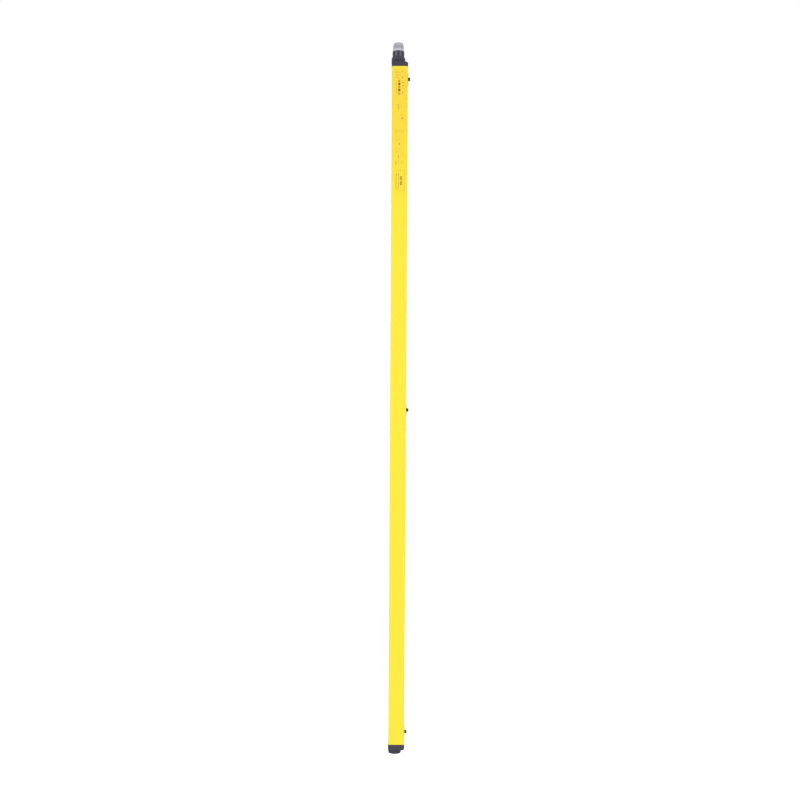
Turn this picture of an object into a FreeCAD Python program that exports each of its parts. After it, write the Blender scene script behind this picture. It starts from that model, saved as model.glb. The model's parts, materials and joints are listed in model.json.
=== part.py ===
"""One bar of a safety light curtain, as a parametric document.

Axes: X across the front, Y from the front window (negative) to the back face (0), Z up along
the bar. The origin is on the back face, on the rear T-slot's middle line, half way between the
two outer slot screws. All sizes are millimetres.
"""
import FreeCAD, Part
import math
import os
import re
import Sketcher

Vector = FreeCAD.Vector

# How many there are of each repeated thing
BEAMS_PER_MODULE = (10, 10, 10, 10, 10, 5)
BEAMS = sum(BEAMS_PER_MODULE)
RING_RIBS = 8
CONTACTS = 12
STATUS_LIGHTS = 4
LENS_SIDES = 6

# Driving dimensions: one alias and one plain number for each
SIZES = (
    # aluminium housing
    ("profile_width", 48.0),
    ("profile_depth", 40.0),
    ("corner_radius", 2.5),
    ("side_wall", 2.2),
    ("back_wall", 2.2),
    ("window_opening", 36.0),
    ("lip_thickness", 1.8),
    ("groove_height", 4.0),
    ("groove_wall", 2.8),
    ("ledge_thickness", 1.6),
    ("slot_mouth", 6.0),
    ("slot_lip", 2.0),
    ("slot_width", 11.5),
    ("slot_depth", 4.5),
    ("slot_web", 1.8),
    ("rail_thickness", 1.3),
    ("rail_height", 2.0),
    ("rail_gap", 4.0),
    ("rail_setback", 1.7),
    ("port_bore", 2.6),
    ("port_wall", 1.5),
    ("port_bite", 0.4),
    ("port_gap", 1.2),
    # length of the bar: the beams, the display at the plug end and a gap at the foot
    ("beam_pitch", 30.0),
    ("display_zone", 33.0),
    ("foot_gap", 4.0),
    # front window and its seals
    ("window_thickness", 2.5),
    ("seal_web", 0.8),
    ("seal_grip", 2.5),
    ("snug", 0.05),
    # end caps, gaskets and cap screws
    ("cap_overhang", 0.3),
    ("cap_brow", 0.6),
    ("cap_corner", 2.8),
    ("cap_ceiling", 2.5),
    ("well_width", 30.0),
    ("well_depth", 28.8),
    ("gasket_thickness", 0.8),
    ("gasket_rim", 1.2),
    ("gasket_play", 0.1),
    ("top_cap_height", 12.4),
    ("bottom_cap_height", 13.7),
    ("back_slope_run", 7.5),
    ("back_slope_drop", 3.7),
    ("back_round", 4.0),
    ("screw_seat", 5.2),
    ("cap_screw_play", 0.4),
    ("cap_screw_head", 5.0),
    ("cap_screw_head_height", 2.0),
    ("cap_screw_length", 14.0),
    ("trough_play", 0.3),
    # round bosses, set towards the front
    ("boss_axis", 24.0),
    ("boss_diameter", 34.3),
    ("boss_height", 15.9),
    ("boss_chamfer", 2.5),
    ("cover_diameter", 31.6),
    ("cover_height", 11.9),
    ("cover_spigot", 26.0),
    ("cover_spigot_depth", 7.0),
    # machine plug, its lock ring and its dust cap
    ("thread_diameter", 25.9),
    ("thread_stand", 3.7),
    ("thread_clearance", 0.15),
    ("flange_side", 28.0),
    ("flange_thickness", 2.5),
    ("seal_thickness", 1.0),
    ("seal_width", 1.2),
    ("sleeve_diameter", 20.4),
    ("sleeve_height", 12.6),
    ("sleeve_bore", 18.0),
    ("socket_depth", 9.2),
    ("key_width", 2.4),
    ("key_depth", 0.8),
    ("contact_circle", 13.0),
    ("contact_diameter", 1.6),
    ("contact_reach", 7.4),
    ("ring_diameter", 30.3),
    ("ring_height", 13.8),
    ("rib_width", 4.6),
    ("rib_depth", 1.0),
    ("dust_cap_height", 20.6),
    ("dust_cap_gap", 0.3),
    ("dust_cap_wall", 0.9),
    ("dust_cap_skirt", 5.1),
    ("dust_cap_barrel", 25.6),
    ("dust_cap_crown", 1.6),
    # optics: trays, lenses and boards
    ("module_gap", 0.4),
    ("tray_width", 24.0),
    ("cell_width", 18.0),
    ("cell_wall", 4.0),
    ("side_play", 0.4),
    ("lens_clearance", 1.3),
    ("lens_diameter", 10.0),
    ("lens_rise", 1.3),
    ("lens_base", 2.0),
    ("board_thickness", 1.6),
    ("emitter_size", 3.0),
    ("emitter_height", 2.0),
    ("chip_side", 7.0),
    ("chip_height", 1.2),
    ("bridge_width", 14.0),
    ("bridge_length", 11.0),
    ("bridge_height", 2.2),
    ("bridge_notch", 2.0),
    # control board, display and light guide at the plug end
    ("lead_zone", 9.0),
    ("bezel_width", 31.0),
    ("display_width", 13.0),
    ("display_height", 17.0),
    ("display_depth", 8.0),
    ("display_offset", 6.0),
    ("display_stem", 8.0),
    ("segment_length", 5.0),
    ("segment_width", 1.0),
    ("segment_depth", 0.3),
    ("guide_offset", 9.0),
    ("guide_width", 3.0),
    ("guide_rod", 2.4),
    ("guide_pitch", 4.0),
    ("guide_web", 1.6),
    ("pocket_play", 0.2),
    ("socket_block_width", 16.0),
    ("socket_block_height", 6.0),
    ("socket_block_depth", 5.0),
    ("lead_width", 12.0),
    ("lead_thickness", 1.0),
    ("spring_thickness", 0.4),
    ("spring_width", 5.0),
    ("spring_foot", 7.0),
    ("spring_play", 1.4),
    # slot nuts, screws and clamp plates at the back
    ("screw_inset", 26.1),
    ("middle_screw_drop", 11.5),
    ("nut_play", 0.25),
    ("nut_length", 20.0),
    ("plate_width", 14.0),
    ("plate_length", 28.0),
    ("plate_thickness", 0.8),
    ("screw_head", 8.5),
    ("screw_head_height", 5.0),
    ("screw_shank", 4.9),
    ("screw_play", 0.3),
    ("screw_grip", 3.2),
    ("screw_socket", 4.0),
    ("screw_socket_depth", 2.2),
)

# Places and sizes worked out from the driving dimensions
DERIVED = {
    "bar_length": f"{BEAMS} * beam_pitch + display_zone + foot_gap",
    "half_width": "profile_width / 2",
    "inner_half": "half_width - side_wall",
    "lip_half": "window_opening / 2",
    "groove_half": "half_width - groove_wall",
    "lip_back": "-profile_depth + lip_thickness",
    "groove_back": "lip_back + groove_height",
    "ledge_back": "groove_back + ledge_thickness",
    "slot_floor": "-(slot_lip + slot_depth)",
    "slot_box_half": "slot_width / 2 + slot_web",
    "slot_box_front": "slot_floor - slot_web",
    "rear_rail_back": "slot_box_front - rail_setback",
    "rear_rail_front": "rear_rail_back - rail_thickness",
    "front_rail_back": "rear_rail_front - rail_gap",
    "front_rail_front": "front_rail_back - rail_thickness",
    "rail_tip": "inner_half - rail_height",
    "port_radius": "port_bore / 2 + port_wall",
    "port_side": "inner_half - port_radius + port_bite",
    "port_rear": "-back_wall - port_radius + port_bite",
    "port_front": "ledge_back + port_radius - port_bite",
    "window_front": "lip_back + (groove_height - window_thickness) / 2",
    "window_half": "groove_half - seal_web - 2 * snug",
    "cap_half": "half_width + cap_overhang",
    "cap_front": "-profile_depth - cap_brow",
    "cap_screw_core": "0.866 * (port_bore - 2 * snug)",
    "cap_screw_hole": "port_bore + 2 * cap_screw_play",
    "trough_width": "1.155 * cap_screw_head + 2 * trough_play",
    "gasket_half": "well_half + gasket_rim",
    "gasket_front": "well_front - gasket_rim",
    "gasket_back": "well_back + gasket_rim",
    "well_half": "well_width / 2",
    "well_front": "-boss_axis - well_depth / 2",
    "well_back": "-boss_axis + well_depth / 2",
    "notch_half": "slot_width / 2 + cap_overhang",
    "notch_front": "slot_floor - cap_overhang",
    "boss_top": "top_cap_height + boss_height",
    "ceiling": "top_cap_height - cap_ceiling",
    "flange_top": "ceiling - seal_thickness",
    "flange_under": "flange_top - flange_thickness",
    "ring_top": "boss_top + ring_height",
    "thread_top": "ring_top + thread_stand",
    "sleeve_top": "thread_top + sleeve_height",
    "socket_floor": "sleeve_top - socket_depth",
    "board_back": "rear_rail_front - snug",
    "board_front": "board_back - board_thickness",
    "flange_back": "board_front - snug",
    "flange_front": "front_rail_back + snug",
    "card_half": "inner_half - side_play",
    "tray_front": "ledge_back + lens_clearance + lens_rise + lens_base + snug",
    "lens_back": "tray_front - snug",
    "lens_front": "lens_back - lens_base",
    "bezel_front": "ledge_back + lens_clearance",
    "bezel_height": "display_zone - lead_zone - module_gap",
    "screw_top": "bar_length / 2 - screw_inset",
    "nut_front": "-slot_lip - snug",
    "nut_width": "slot_width - 2 * nut_play",
    "nut_thickness": "slot_depth - 2 * nut_play",
}

PARTS = []
doc = FreeCAD.newDocument("safety_light_curtain")
sheet = doc.addObject("Spreadsheet::Sheet", "sizes")
for line, (alias, number) in enumerate(SIZES, start=1):
    sheet.set(f"B{line}", str(number))
    sheet.setAlias(f"B{line}", alias)
doc.recompute()
ALIASES = {alias for alias, _ in SIZES}


def formula(words):
    """The expression for a formula in plain size names, down to the cells of the sheet."""

    def cell(found):
        name = found.group(0)
        if name in ALIASES:
            return f"sizes.{name}"
        if name in DERIVED:
            return f"({formula(DERIVED[name])})"
        raise NameError(f"no size is called {name}")

    return re.sub(r"[a-z]\w*", cell, str(words))


def value(words):
    return float(sheet.evalExpression(formula(words)))


def minus(words):
    return f"-({words})"


# ---- document helpers -------------------------------------------------------------------


def new_body(label, z="0", y="0", upside_down=False, loose_solids=False):
    """A body with its own label, placed up the bar; an upside-down one hangs under the foot."""
    body = doc.addObject("PartDesign::Body", label)
    body.Label = label
    body.AllowCompound = loose_solids
    turn = FreeCAD.Rotation(Vector(0, 1, 0), 180 if upside_down else 0)
    body.Placement = FreeCAD.Placement(Vector(0, value(y), value(z)), turn)
    body.setExpression("Placement.Base.y", formula(y))
    body.setExpression("Placement.Base.z", formula(z))
    PARTS.append(body)
    return body


def origin(body, role):
    return next(item for item in body.Origin.OriginFeatures if item.Role == role)


def new_sketch(body, role, offset="0"):
    sketch = body.newObject("Sketcher::SketchObject", f"{body.Label}_sketch")
    sketch.AttachmentSupport = (origin(body, role), [""])
    sketch.MapMode = "FlatFace"
    sketch.setExpression("AttachmentOffset.Base.z", formula(offset))
    return sketch


def pin_point(sketch, geometry, point, x, y):
    for kind, words in (("DistanceX", x), ("DistanceY", y)):
        rule = Sketcher.Constraint(kind, -1, 1, geometry, point, value(words))
        index = sketch.addConstraint(rule)
        sketch.setExpression(f"Constraints[{index}]", formula(words))


def polygon(sketch, points):
    """A closed outline of straight lines through points given as formulas."""
    first = sketch.GeometryCount
    places = [Vector(value(x), value(y), 0) for x, y in points]
    count = len(points)
    lines = [Part.LineSegment(places[i], places[(i + 1) % count]) for i in range(count)]
    sketch.addGeometry(lines, False)
    for i in range(count):
        joint = Sketcher.Constraint("Coincident", first + i, 2, first + (i + 1) % count, 1)
        sketch.addConstraint(joint)
    for i, (x, y) in enumerate(points):
        pin_point(sketch, first + i, 1, x, y)


def rectangle(sketch, x_low, x_high, y_low, y_high):
    polygon(sketch, [(x_low, y_low), (x_high, y_low), (x_high, y_high), (x_low, y_high)])


def block(sketch, x, y, width, height):
    """A rectangle about its middle."""
    rectangle(
        sketch,
        f"{x} - ({width}) / 2",
        f"{x} + ({width}) / 2",
        f"{y} - ({height}) / 2",
        f"{y} + ({height}) / 2",
    )


def circle(sketch, x, y, diameter):
    spot = Vector(value(x), value(y), 0)
    index = sketch.addGeometry(Part.Circle(spot, Vector(0, 0, 1), value(diameter) / 2), False)
    pin_point(sketch, index, 3, x, y)
    size = sketch.addConstraint(Sketcher.Constraint("Diameter", index, value(diameter)))
    sketch.setExpression(f"Constraints[{size}]", formula(diameter))


def hexagon(sketch, x, y, across_flats):
    points = []
    for corner in range(6):
        angle = math.radians(60 * corner + 30)
        reach = f"({across_flats}) / {math.sqrt(3):.6f}"
        points.append((f"{x} + {math.cos(angle):.6f} * {reach}", f"{y} + {math.sin(angle):.6f} * {reach}"))
    polygon(sketch, points)


def pad(body, sketch, length, backwards=False, midplane=False):
    feature = body.newObject("PartDesign::Pad", f"{body.Label}_pad")
    feature.Profile = sketch
    feature.setExpression("Length", formula(length))
    feature.Reversed = backwards
    feature.Midplane = midplane
    return feature


def pocket(body, sketch, depth=None, backwards=False):
    """A cut right through, or to a depth; it has to take something away."""
    doc.recompute()
    before = body.Shape.Volume
    feature = body.newObject("PartDesign::Pocket", f"{body.Label}_pocket")
    feature.Profile = sketch
    if depth is None:
        feature.Type = "ThroughAll"
        feature.Midplane = True
    else:
        feature.setExpression("Length", formula(depth))
        feature.Reversed = backwards
    doc.recompute()
    if body.Shape.Volume >= before:
        raise RuntimeError(f"a pocket in {body.Label} cuts nothing")
    return feature


def revolve(body, sketch, axis="Z_Axis"):
    feature = body.newObject("PartDesign::Revolution", f"{body.Label}_turned")
    feature.Profile = sketch
    feature.ReferenceAxis = (origin(body, axis), [""])
    feature.Angle = 360
    return feature


def repeat(body, feature, spacing, count):
    """Copies of a feature at even steps up the bar."""
    pattern = body.newObject("PartDesign::LinearPattern", f"{body.Label}_row")
    pattern.Originals = [feature]
    pattern.Direction = (origin(body, "Z_Axis"), [""])
    pattern.Mode = "Spacing"
    pattern.setExpression("Offset", formula(spacing))
    pattern.Occurrences = count
    body.Tip = pattern


def dress(body, kind, size, wanted):
    """A fillet or chamfer on the edges that the test picks."""
    doc.recompute()
    base = body.Tip
    edges = [f"Edge{n}" for n, edge in enumerate(base.Shape.Edges, 1) if wanted(edge)]
    if not edges:
        raise RuntimeError(f"{body.Label} has no edge to dress")
    feature = body.newObject(f"PartDesign::{kind}", f"{body.Label}_{kind.lower()}")
    feature.Base = (base, edges)
    feature.setExpression("Radius" if kind == "Fillet" else "Size", formula(size))
    body.Tip = feature


def along(edge, axis):
    """True where an edge is straight and runs along X, Y or Z."""
    ends = [vertex.Point for vertex in edge.Vertexes]
    if len(ends) != 2 or not isinstance(edge.Curve, Part.Line):
        return False
    run = (ends[1] - ends[0]).normalize()
    return abs(abs(getattr(run, axis)) - 1) < 1e-6


def near(number, words):
    return abs(number - value(words)) < 1e-4


# ---- housing ----------------------------------------------------------------------------


def housing_profile():
    """The extrusion: open at the front for the window, with a T-slot at the back."""
    body = new_body("housing_profile")
    outer = [
        ("lip_half", "-profile_depth"),
        ("half_width", "-profile_depth"),
        ("half_width", "0"),
        ("slot_mouth / 2", "0"),
        ("slot_mouth / 2", "-slot_lip"),
        ("slot_width / 2", "-slot_lip"),
        ("slot_width / 2", "slot_floor"),
    ]
    inner = [
        ("slot_box_half", "slot_box_front"),
        ("slot_box_half", "-back_wall"),
        ("inner_half", "-back_wall"),
        ("inner_half", "ledge_back"),
        ("lip_half", "ledge_back"),
        ("lip_half", "groove_back"),
        ("groove_half", "groove_back"),
        ("groove_half", "lip_back"),
        ("lip_half", "lip_back"),
    ]
    left_outer = [(minus(x), y) for x, y in reversed(outer)]
    left_inner = [(minus(x), y) for x, y in reversed(inner)]
    section = new_sketch(body, "XY_Plane")
    polygon(section, outer + left_outer + left_inner + inner)
    pad(body, section, "bar_length", midplane=True)

    rails = new_sketch(body, "XY_Plane")
    for low, high in (("rail_tip", "inner_half"), ("-(inner_half)", "-(rail_tip)")):
        rectangle(rails, low, high, "rear_rail_front", "rear_rail_back")
        rectangle(rails, low, high, "front_rail_front", "front_rail_back")
    pad(body, rails, "bar_length", midplane=True)

    ports = new_sketch(body, "XY_Plane")
    for x, y in screw_places():
        block(ports, x, y, "2 * port_radius", "2 * port_radius")
    pad(body, ports, "bar_length", midplane=True)
    bores = new_sketch(body, "XY_Plane")
    for x, y in screw_places():
        circle(bores, x, y, "port_bore")
    pocket(body, bores)
    gaps = new_sketch(body, "XY_Plane")
    for x, y in screw_places():
        inward = "-" if x == "port_side" else "+"
        low, high = sorted((x, f"{x} {inward} (port_radius + port_bite)"), key=value)
        rectangle(gaps, low, high, f"{y} - port_gap / 2", f"{y} + port_gap / 2")
    pocket(body, gaps)
    dress(body, "Fillet", "corner_radius", is_outer_corner)


def screw_places():
    """The four screw ports, seen along the bar."""
    sides = ("port_side", "-(port_side)")
    return [(x, y) for x in sides for y in ("port_front", "port_rear")]


def is_outer_corner(edge):
    if not along(edge, "z"):
        return False
    spot = edge.Vertexes[0].Point
    return near(abs(spot.x), "half_width") and (near(spot.y, "0") or near(spot.y, "-profile_depth"))


# ---- window -----------------------------------------------------------------------------


def front_window():
    body = new_body("front_window")
    section = new_sketch(body, "XY_Plane")
    rectangle(section, "-(window_half)", "window_half", "window_front", "window_front + window_thickness")
    pad(body, section, "bar_length", midplane=True)


def window_seal(label, side):
    """A rubber channel round one long edge of the window, inside its groove."""
    body = new_body(label)
    back = "groove_back - snug"
    glass_back = "window_front + window_thickness + snug"
    points = [
        ("groove_half - snug", "lip_back + snug"),
        ("groove_half - snug", back),
        ("groove_half - snug - seal_grip", back),
        ("groove_half - snug - seal_grip", glass_back),
        ("groove_half - snug - seal_web", glass_back),
        ("groove_half - snug - seal_web", "window_front - snug"),
        ("groove_half - snug - seal_grip", "window_front - snug"),
        ("groove_half - snug - seal_grip", "lip_back + snug"),
    ]
    section = new_sketch(body, "XY_Plane")
    polygon(section, [(x if side > 0 else minus(x), y) for x, y in points])
    pad(body, section, "bar_length", midplane=True)


# ---- end caps: drawn with z = 0 on the housing's end and z upwards out of it --------------


def end_place(upside_down):
    return {"z": "-bar_length / 2" if upside_down else "bar_length / 2", "upside_down": upside_down}


def nut_notch(sketch):
    """The way in for slot nuts, through whatever closes the end of the T-slot."""
    rectangle(sketch, "-(notch_half)", "notch_half", "notch_front", "cap_overhang + cap_brow")


def gasket_outline(sketch, play="0"):
    """The gasket's outer edge, between the two rows of cap screws."""
    half = f"(gasket_half + {play})"
    rectangle(sketch, minus(half), half, f"gasket_front - {play}", f"gasket_back + {play}")


def cap_gaskets():
    """A flat gasket on each end of the housing, in the recess under each cap."""
    body = new_body("cap_gaskets", loose_solids=True)
    for start in ("bar_length / 2", "-bar_length / 2 - gasket_thickness"):
        outline = new_sketch(body, "XY_Plane", start)
        gasket_outline(outline)
        rectangle(outline, "-(well_half)", "well_half", "well_front", "well_back")
        pad(body, outline, "gasket_thickness")


def end_cap(label, upside_down, height):
    """The moulded block that both caps start from, without its boss or opening."""
    body = new_body(label, **end_place(upside_down))
    outline = new_sketch(body, "XY_Plane")
    rectangle(outline, "-(cap_half)", "cap_half", "cap_front", "cap_overhang")
    pad(body, outline, height)
    dress(body, "Fillet", "cap_corner", lambda edge: along(edge, "z"))
    return body


def cap_wells(body, height):
    """The gasket's recess, the hollow, the screws' holes and the notch for slot nuts."""
    recess = new_sketch(body, "XY_Plane")
    gasket_outline(recess, "gasket_play")
    pocket(body, recess, "gasket_thickness", backwards=True)
    hollow = new_sketch(body, "XY_Plane")
    rectangle(hollow, "-(well_half)", "well_half", "well_front", "well_back")
    pocket(body, hollow, f"{height} - cap_ceiling", backwards=True)
    holes = new_sketch(body, "XY_Plane")
    for x, y in screw_places():
        hexagon(holes, x, y, "cap_screw_hole")
    pocket(body, holes, "screw_seat", backwards=True)
    notch = new_sketch(body, "XY_Plane")
    nut_notch(notch)
    pocket(body, notch)


def screw_troughs(body, height):
    """A trough down each side of the cap, with the screws' heads on its floor."""
    troughs = new_sketch(body, "XY_Plane", "screw_seat")
    for side in ("port_side", "-(port_side)"):
        middle, reach = "(port_front + port_rear) / 2", "port_rear - port_front + trough_width"
        block(troughs, side, middle, "trough_width", reach)
    pocket(body, troughs, height, backwards=True)


def top_end_cap():
    body = end_cap("top_end_cap", False, "top_cap_height")
    slope = new_sketch(body, "YZ_Plane")
    polygon(
        slope,
        [
            ("cap_overhang - back_slope_run", "top_cap_height"),
            ("cap_overhang", "top_cap_height - back_slope_drop"),
            ("2 * back_slope_run", "top_cap_height - back_slope_drop"),
            ("2 * back_slope_run", "2 * top_cap_height"),
            ("cap_overhang - back_slope_run", "2 * top_cap_height"),
        ],
    )
    pocket(body, slope)
    screw_troughs(body, "top_cap_height")
    boss = new_sketch(body, "XY_Plane", "top_cap_height")
    circle(boss, "0", "-boss_axis", "boss_diameter")
    pad(body, boss, "boss_height")
    dress(body, "Chamfer", "boss_chamfer", lambda edge: near(edge.BoundBox.ZMin, "boss_top"))
    cap_wells(body, "top_cap_height")
    opening = new_sketch(body, "XY_Plane")
    circle(opening, "0", "-boss_axis", "thread_diameter + 2 * thread_clearance")
    pocket(body, opening)


def bottom_end_cap():
    body = end_cap("bottom_end_cap", True, "bottom_cap_height")
    corner = new_sketch(body, "YZ_Plane")
    polygon(
        corner,
        [
            ("cap_overhang - back_round", "bottom_cap_height"),
            ("cap_overhang - back_round / 3", "bottom_cap_height - back_round / 3"),
            ("cap_overhang", "bottom_cap_height - back_round"),
            ("2 * back_round", "bottom_cap_height - back_round"),
            ("2 * back_round", "2 * bottom_cap_height"),
            ("cap_overhang - back_round", "2 * bottom_cap_height"),
        ],
    )
    pocket(body, corner)
    screw_troughs(body, "bottom_cap_height")
    cap_wells(body, "bottom_cap_height")
    opening = new_sketch(body, "XY_Plane")
    circle(opening, "0", "-boss_axis", "cover_spigot + 2 * thread_clearance")
    pocket(body, opening)


def cap_screws():
    """The hexagon-head screws that hold both caps, cut to their core in the housing's ports."""
    body = new_body("cap_screws", loose_solids=True)
    for end in (1, -1):
        seat = f"{end} * (bar_length / 2 + screw_seat)"
        heads = new_sketch(body, "XY_Plane", seat)
        shanks = new_sketch(body, "XY_Plane", seat)
        for x, y in screw_places():
            hexagon(heads, x, y, "cap_screw_head")
            hexagon(shanks, x, y, "cap_screw_core")
        pad(body, heads, "cap_screw_head_height", backwards=end < 0)
        pad(body, shanks, "cap_screw_length", backwards=end > 0)


# ---- plug, on the boss's own axis -------------------------------------------------------


def turned(label, outline, upside_down=False):
    """A body of revolution about the boss's axis, from radius and height pairs."""
    body = new_body(label, y="-boss_axis", **end_place(upside_down))
    half_section = new_sketch(body, "XZ_Plane")
    polygon(half_section, outline)
    revolve(body, half_section)
    return body


def plug_shell():
    """A square flange under the cap's ceiling, a thread through the boss and a sleeve."""
    bore, thread = "sleeve_bore / 2", "thread_diameter / 2"
    body = turned(
        "plug_shell",
        [
            (bore, "flange_under"),
            (thread, "flange_under"),
            (thread, "thread_top"),
            ("sleeve_diameter / 2", "thread_top"),
            ("sleeve_diameter / 2", "sleeve_top"),
            (bore, "sleeve_top"),
        ],
    )
    flange = new_sketch(body, "XY_Plane", "flange_under")
    block(flange, "0", "0", "flange_side", "flange_side")
    circle(flange, "0", "0", f"2 * {thread} - 2 * snug")
    pad(body, flange, "flange_thickness")
    key = new_sketch(body, "XY_Plane", "sleeve_top")
    block(key, "0", bore, "key_width", "2 * key_depth")
    pocket(body, key, "socket_depth")


def boss_seals():
    """The two like flat seals: under the top cap's ceiling and under the blind cover."""
    body = new_body("boss_seals", y="-boss_axis", loose_solids=True)
    top = "bar_length / 2 + flange_top"
    foot = "-bar_length / 2 - bottom_cap_height - seal_thickness"
    hole = "cover_spigot + 2 * thread_clearance"
    for start in (top, foot):
        ring = new_sketch(body, "XY_Plane", start)
        circle(ring, "0", "0", hole)
        circle(ring, "0", "0", f"{hole} + 2 * seal_width")
        pad(body, ring, "seal_thickness")


def plug_insert():
    """The insulator that carries the contacts."""
    rim = "sleeve_bore / 2 - snug"
    low, high = "flange_under", "socket_floor"
    turned("plug_insert", [("0", low), (rim, low), (rim, high), ("0", high)])


def contact_pins():
    """The plug's contacts, six-sided, evenly round one circle."""
    body = new_body("contact_pins", y="-boss_axis", loose_solids=True, **end_place(False))
    pins = new_sketch(body, "XY_Plane", "socket_floor")
    for contact in range(CONTACTS):
        angle = 2 * math.pi * (contact + 0.5) / CONTACTS
        x = f"{math.cos(angle):.6f} * contact_circle / 2"
        y = f"{math.sin(angle):.6f} * contact_circle / 2"
        hexagon(pins, x, y, "contact_diameter")
    pad(body, pins, "contact_reach")


def plug_lock_ring():
    """The nut that clamps the plug in the boss: eight grip ribs with flats between them."""
    body = new_body("plug_lock_ring", y="-boss_axis", **end_place(False))
    outline = new_sketch(body, "XY_Plane", "boss_top")
    crest, root = "ring_diameter / 2", "(ring_diameter / 2 - rib_depth)"
    points = []
    for rib in range(RING_RIBS):
        middle = 2 * math.pi * (rib + 0.5) / RING_RIBS
        along_x, along_y = math.cos(middle), math.sin(middle)
        flanks = ((root, "-rib_width / 2"), (crest, "-rib_width / 4"))
        flanks += ((crest, "rib_width / 4"), (root, "rib_width / 2"))
        for reach, side in flanks:
            x = f"{along_x:.6f} * {reach} - {along_y:.6f} * ({side})"
            y = f"{along_y:.6f} * {reach} + {along_x:.6f} * ({side})"
            points.append((x, y))
    polygon(outline, points)
    circle(outline, "0", "0", "thread_diameter + 2 * thread_clearance")
    pad(body, outline, "ring_height")


def dust_cap():
    """A push-on cap: a skirt over the thread, then a chamfered barrel over the sleeve."""
    foot = "ring_top + dust_cap_gap"
    top = f"{foot} + dust_cap_height"
    skirt_inside = "thread_diameter / 2 + dust_cap_gap"
    sleeve_inside = "sleeve_diameter / 2 + dust_cap_gap"
    ledge = f"{foot} + dust_cap_skirt - dust_cap_wall"
    turned(
        "dust_cap",
        [
            (skirt_inside, foot),
            (f"{skirt_inside} + dust_cap_wall", foot),
            (f"{skirt_inside} + dust_cap_wall", f"{foot} + dust_cap_skirt"),
            ("dust_cap_barrel / 2", f"{foot} + dust_cap_skirt"),
            ("dust_cap_barrel / 2", f"{top} - dust_cap_crown"),
            ("dust_cap_barrel / 2 - dust_cap_crown", top),
            ("0", top),
            ("0", f"{top} - 2 * dust_cap_wall"),
            (sleeve_inside, f"{top} - 2 * dust_cap_wall"),
            (sleeve_inside, ledge),
            (skirt_inside, ledge),
        ],
    )


# ---- blind cover under the foot ---------------------------------------------------------


def blind_cover():
    """A round cover with a spigot, in the bottom cap's opening."""
    spigot_end = "bottom_cap_height - cover_spigot_depth"
    foot = "bottom_cap_height + seal_thickness"
    top = "bottom_cap_height + cover_height"
    spigot, rim = "cover_spigot / 2", "cover_diameter / 2"
    outline = [("0", spigot_end), (spigot, spigot_end), (spigot, foot), (rim, foot), (rim, top), ("0", top)]
    turned("blind_cover", outline, upside_down=True)


# ---- optics: each module is drawn from its own foot upwards -------------------------------


def optics_module(number, beams, foot):
    """A tray with a dark cell for each beam, its lens strip and its emitter board."""
    length = f"{beams} * beam_pitch - module_gap"

    tray = new_body(f"optics_carrier_{number}", z=foot)
    flange = new_sketch(tray, "XY_Plane")
    rectangle(flange, "-(card_half)", "card_half", "flange_front", "flange_back")
    pad(tray, flange, length)
    box = new_sketch(tray, "XY_Plane")
    rectangle(box, "-tray_width / 2", "tray_width / 2", "tray_front", "flange_back")
    pad(tray, box, length)
    cell = new_sketch(tray, "XZ_Plane")
    block(cell, "0", "(beam_pitch - module_gap) / 2", "cell_width", "beam_pitch - cell_wall")
    repeat(tray, pocket(tray, cell), "beam_pitch", beams)

    lenses = new_body(f"lens_strip_{number}", z=foot)
    strip = new_sketch(lenses, "XY_Plane")
    rectangle(strip, "-tray_width / 2", "tray_width / 2", "lens_front", "lens_back")
    pad(lenses, strip, length)
    repeat(lenses, lens_pad(lenses), "beam_pitch", beams)

    board = new_body(f"optic_board_{number}", z=foot)
    card = new_sketch(board, "XY_Plane")
    rectangle(card, "-(card_half)", "card_half", "board_front", "board_back")
    pad(board, card, length)
    emitter = new_sketch(board, "XZ_Plane", minus("board_front"))
    block(emitter, "0", "(beam_pitch - module_gap) / 2", "emitter_size", "emitter_size")
    repeat(board, pad(board, emitter, "emitter_height"), "beam_pitch", beams)


def lens_pad(body):
    """One lens: a six-sided pad that stands for the dome."""
    face = new_sketch(body, "XZ_Plane", minus("lens_front"))
    points = []
    for corner in range(LENS_SIDES):
        angle = 2 * math.pi * (corner + 0.5) / LENS_SIDES
        x = f"{math.cos(angle):.6f} * lens_diameter / 2"
        z = f"(beam_pitch - module_gap) / 2 + {math.sin(angle):.6f} * lens_diameter / 2"
        points.append((x, z))
    polygon(face, points)
    return pad(body, face, "lens_rise")


def board_bridge(number, joint):
    """The connector that carries the supply from one board to the next."""
    body = new_body(f"board_bridge_{number}", z=joint)
    block_face = new_sketch(body, "XZ_Plane", minus("board_back + snug"))
    block(block_face, "0", "0", "bridge_width", "bridge_length")
    pad(body, block_face, "bridge_height", backwards=True)
    notch = new_sketch(body, "XZ_Plane", minus("board_back + snug + bridge_height"))
    block(notch, "0", "0", "bridge_width - 2 * bridge_notch", "bridge_notch")
    pocket(body, notch, "bridge_height / 2", backwards=True)


# ---- control end: drawn from the housing's top end downwards ------------------------------


def control_board():
    body = new_body("control_board", z="bar_length / 2")
    card = new_sketch(body, "XY_Plane", "-module_gap")
    rectangle(card, "-(card_half)", "card_half", "board_front", "board_back")
    pad(body, card, "display_zone - 2 * module_gap", backwards=True)
    front = new_sketch(body, "XZ_Plane", minus("board_front"))
    block(front, "0", "-lead_zone / 2", "socket_block_width", "socket_block_height")
    pad(body, front, "socket_block_depth")
    back = new_sketch(body, "XZ_Plane", minus("board_back"))
    for x in ("-slot_width", "slot_width"):
        block(back, x, "-lead_zone - chip_side", "chip_side", "chip_side")
    pad(body, back, "chip_height", backwards=True)


def display_middle():
    """Height of the display's middle, under the housing's end."""
    return "-lead_zone - bezel_height / 2"


def guide_height():
    """The light guide's height over its four rods."""
    return f"{STATUS_LIGHTS - 1} * guide_pitch + guide_rod"


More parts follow.
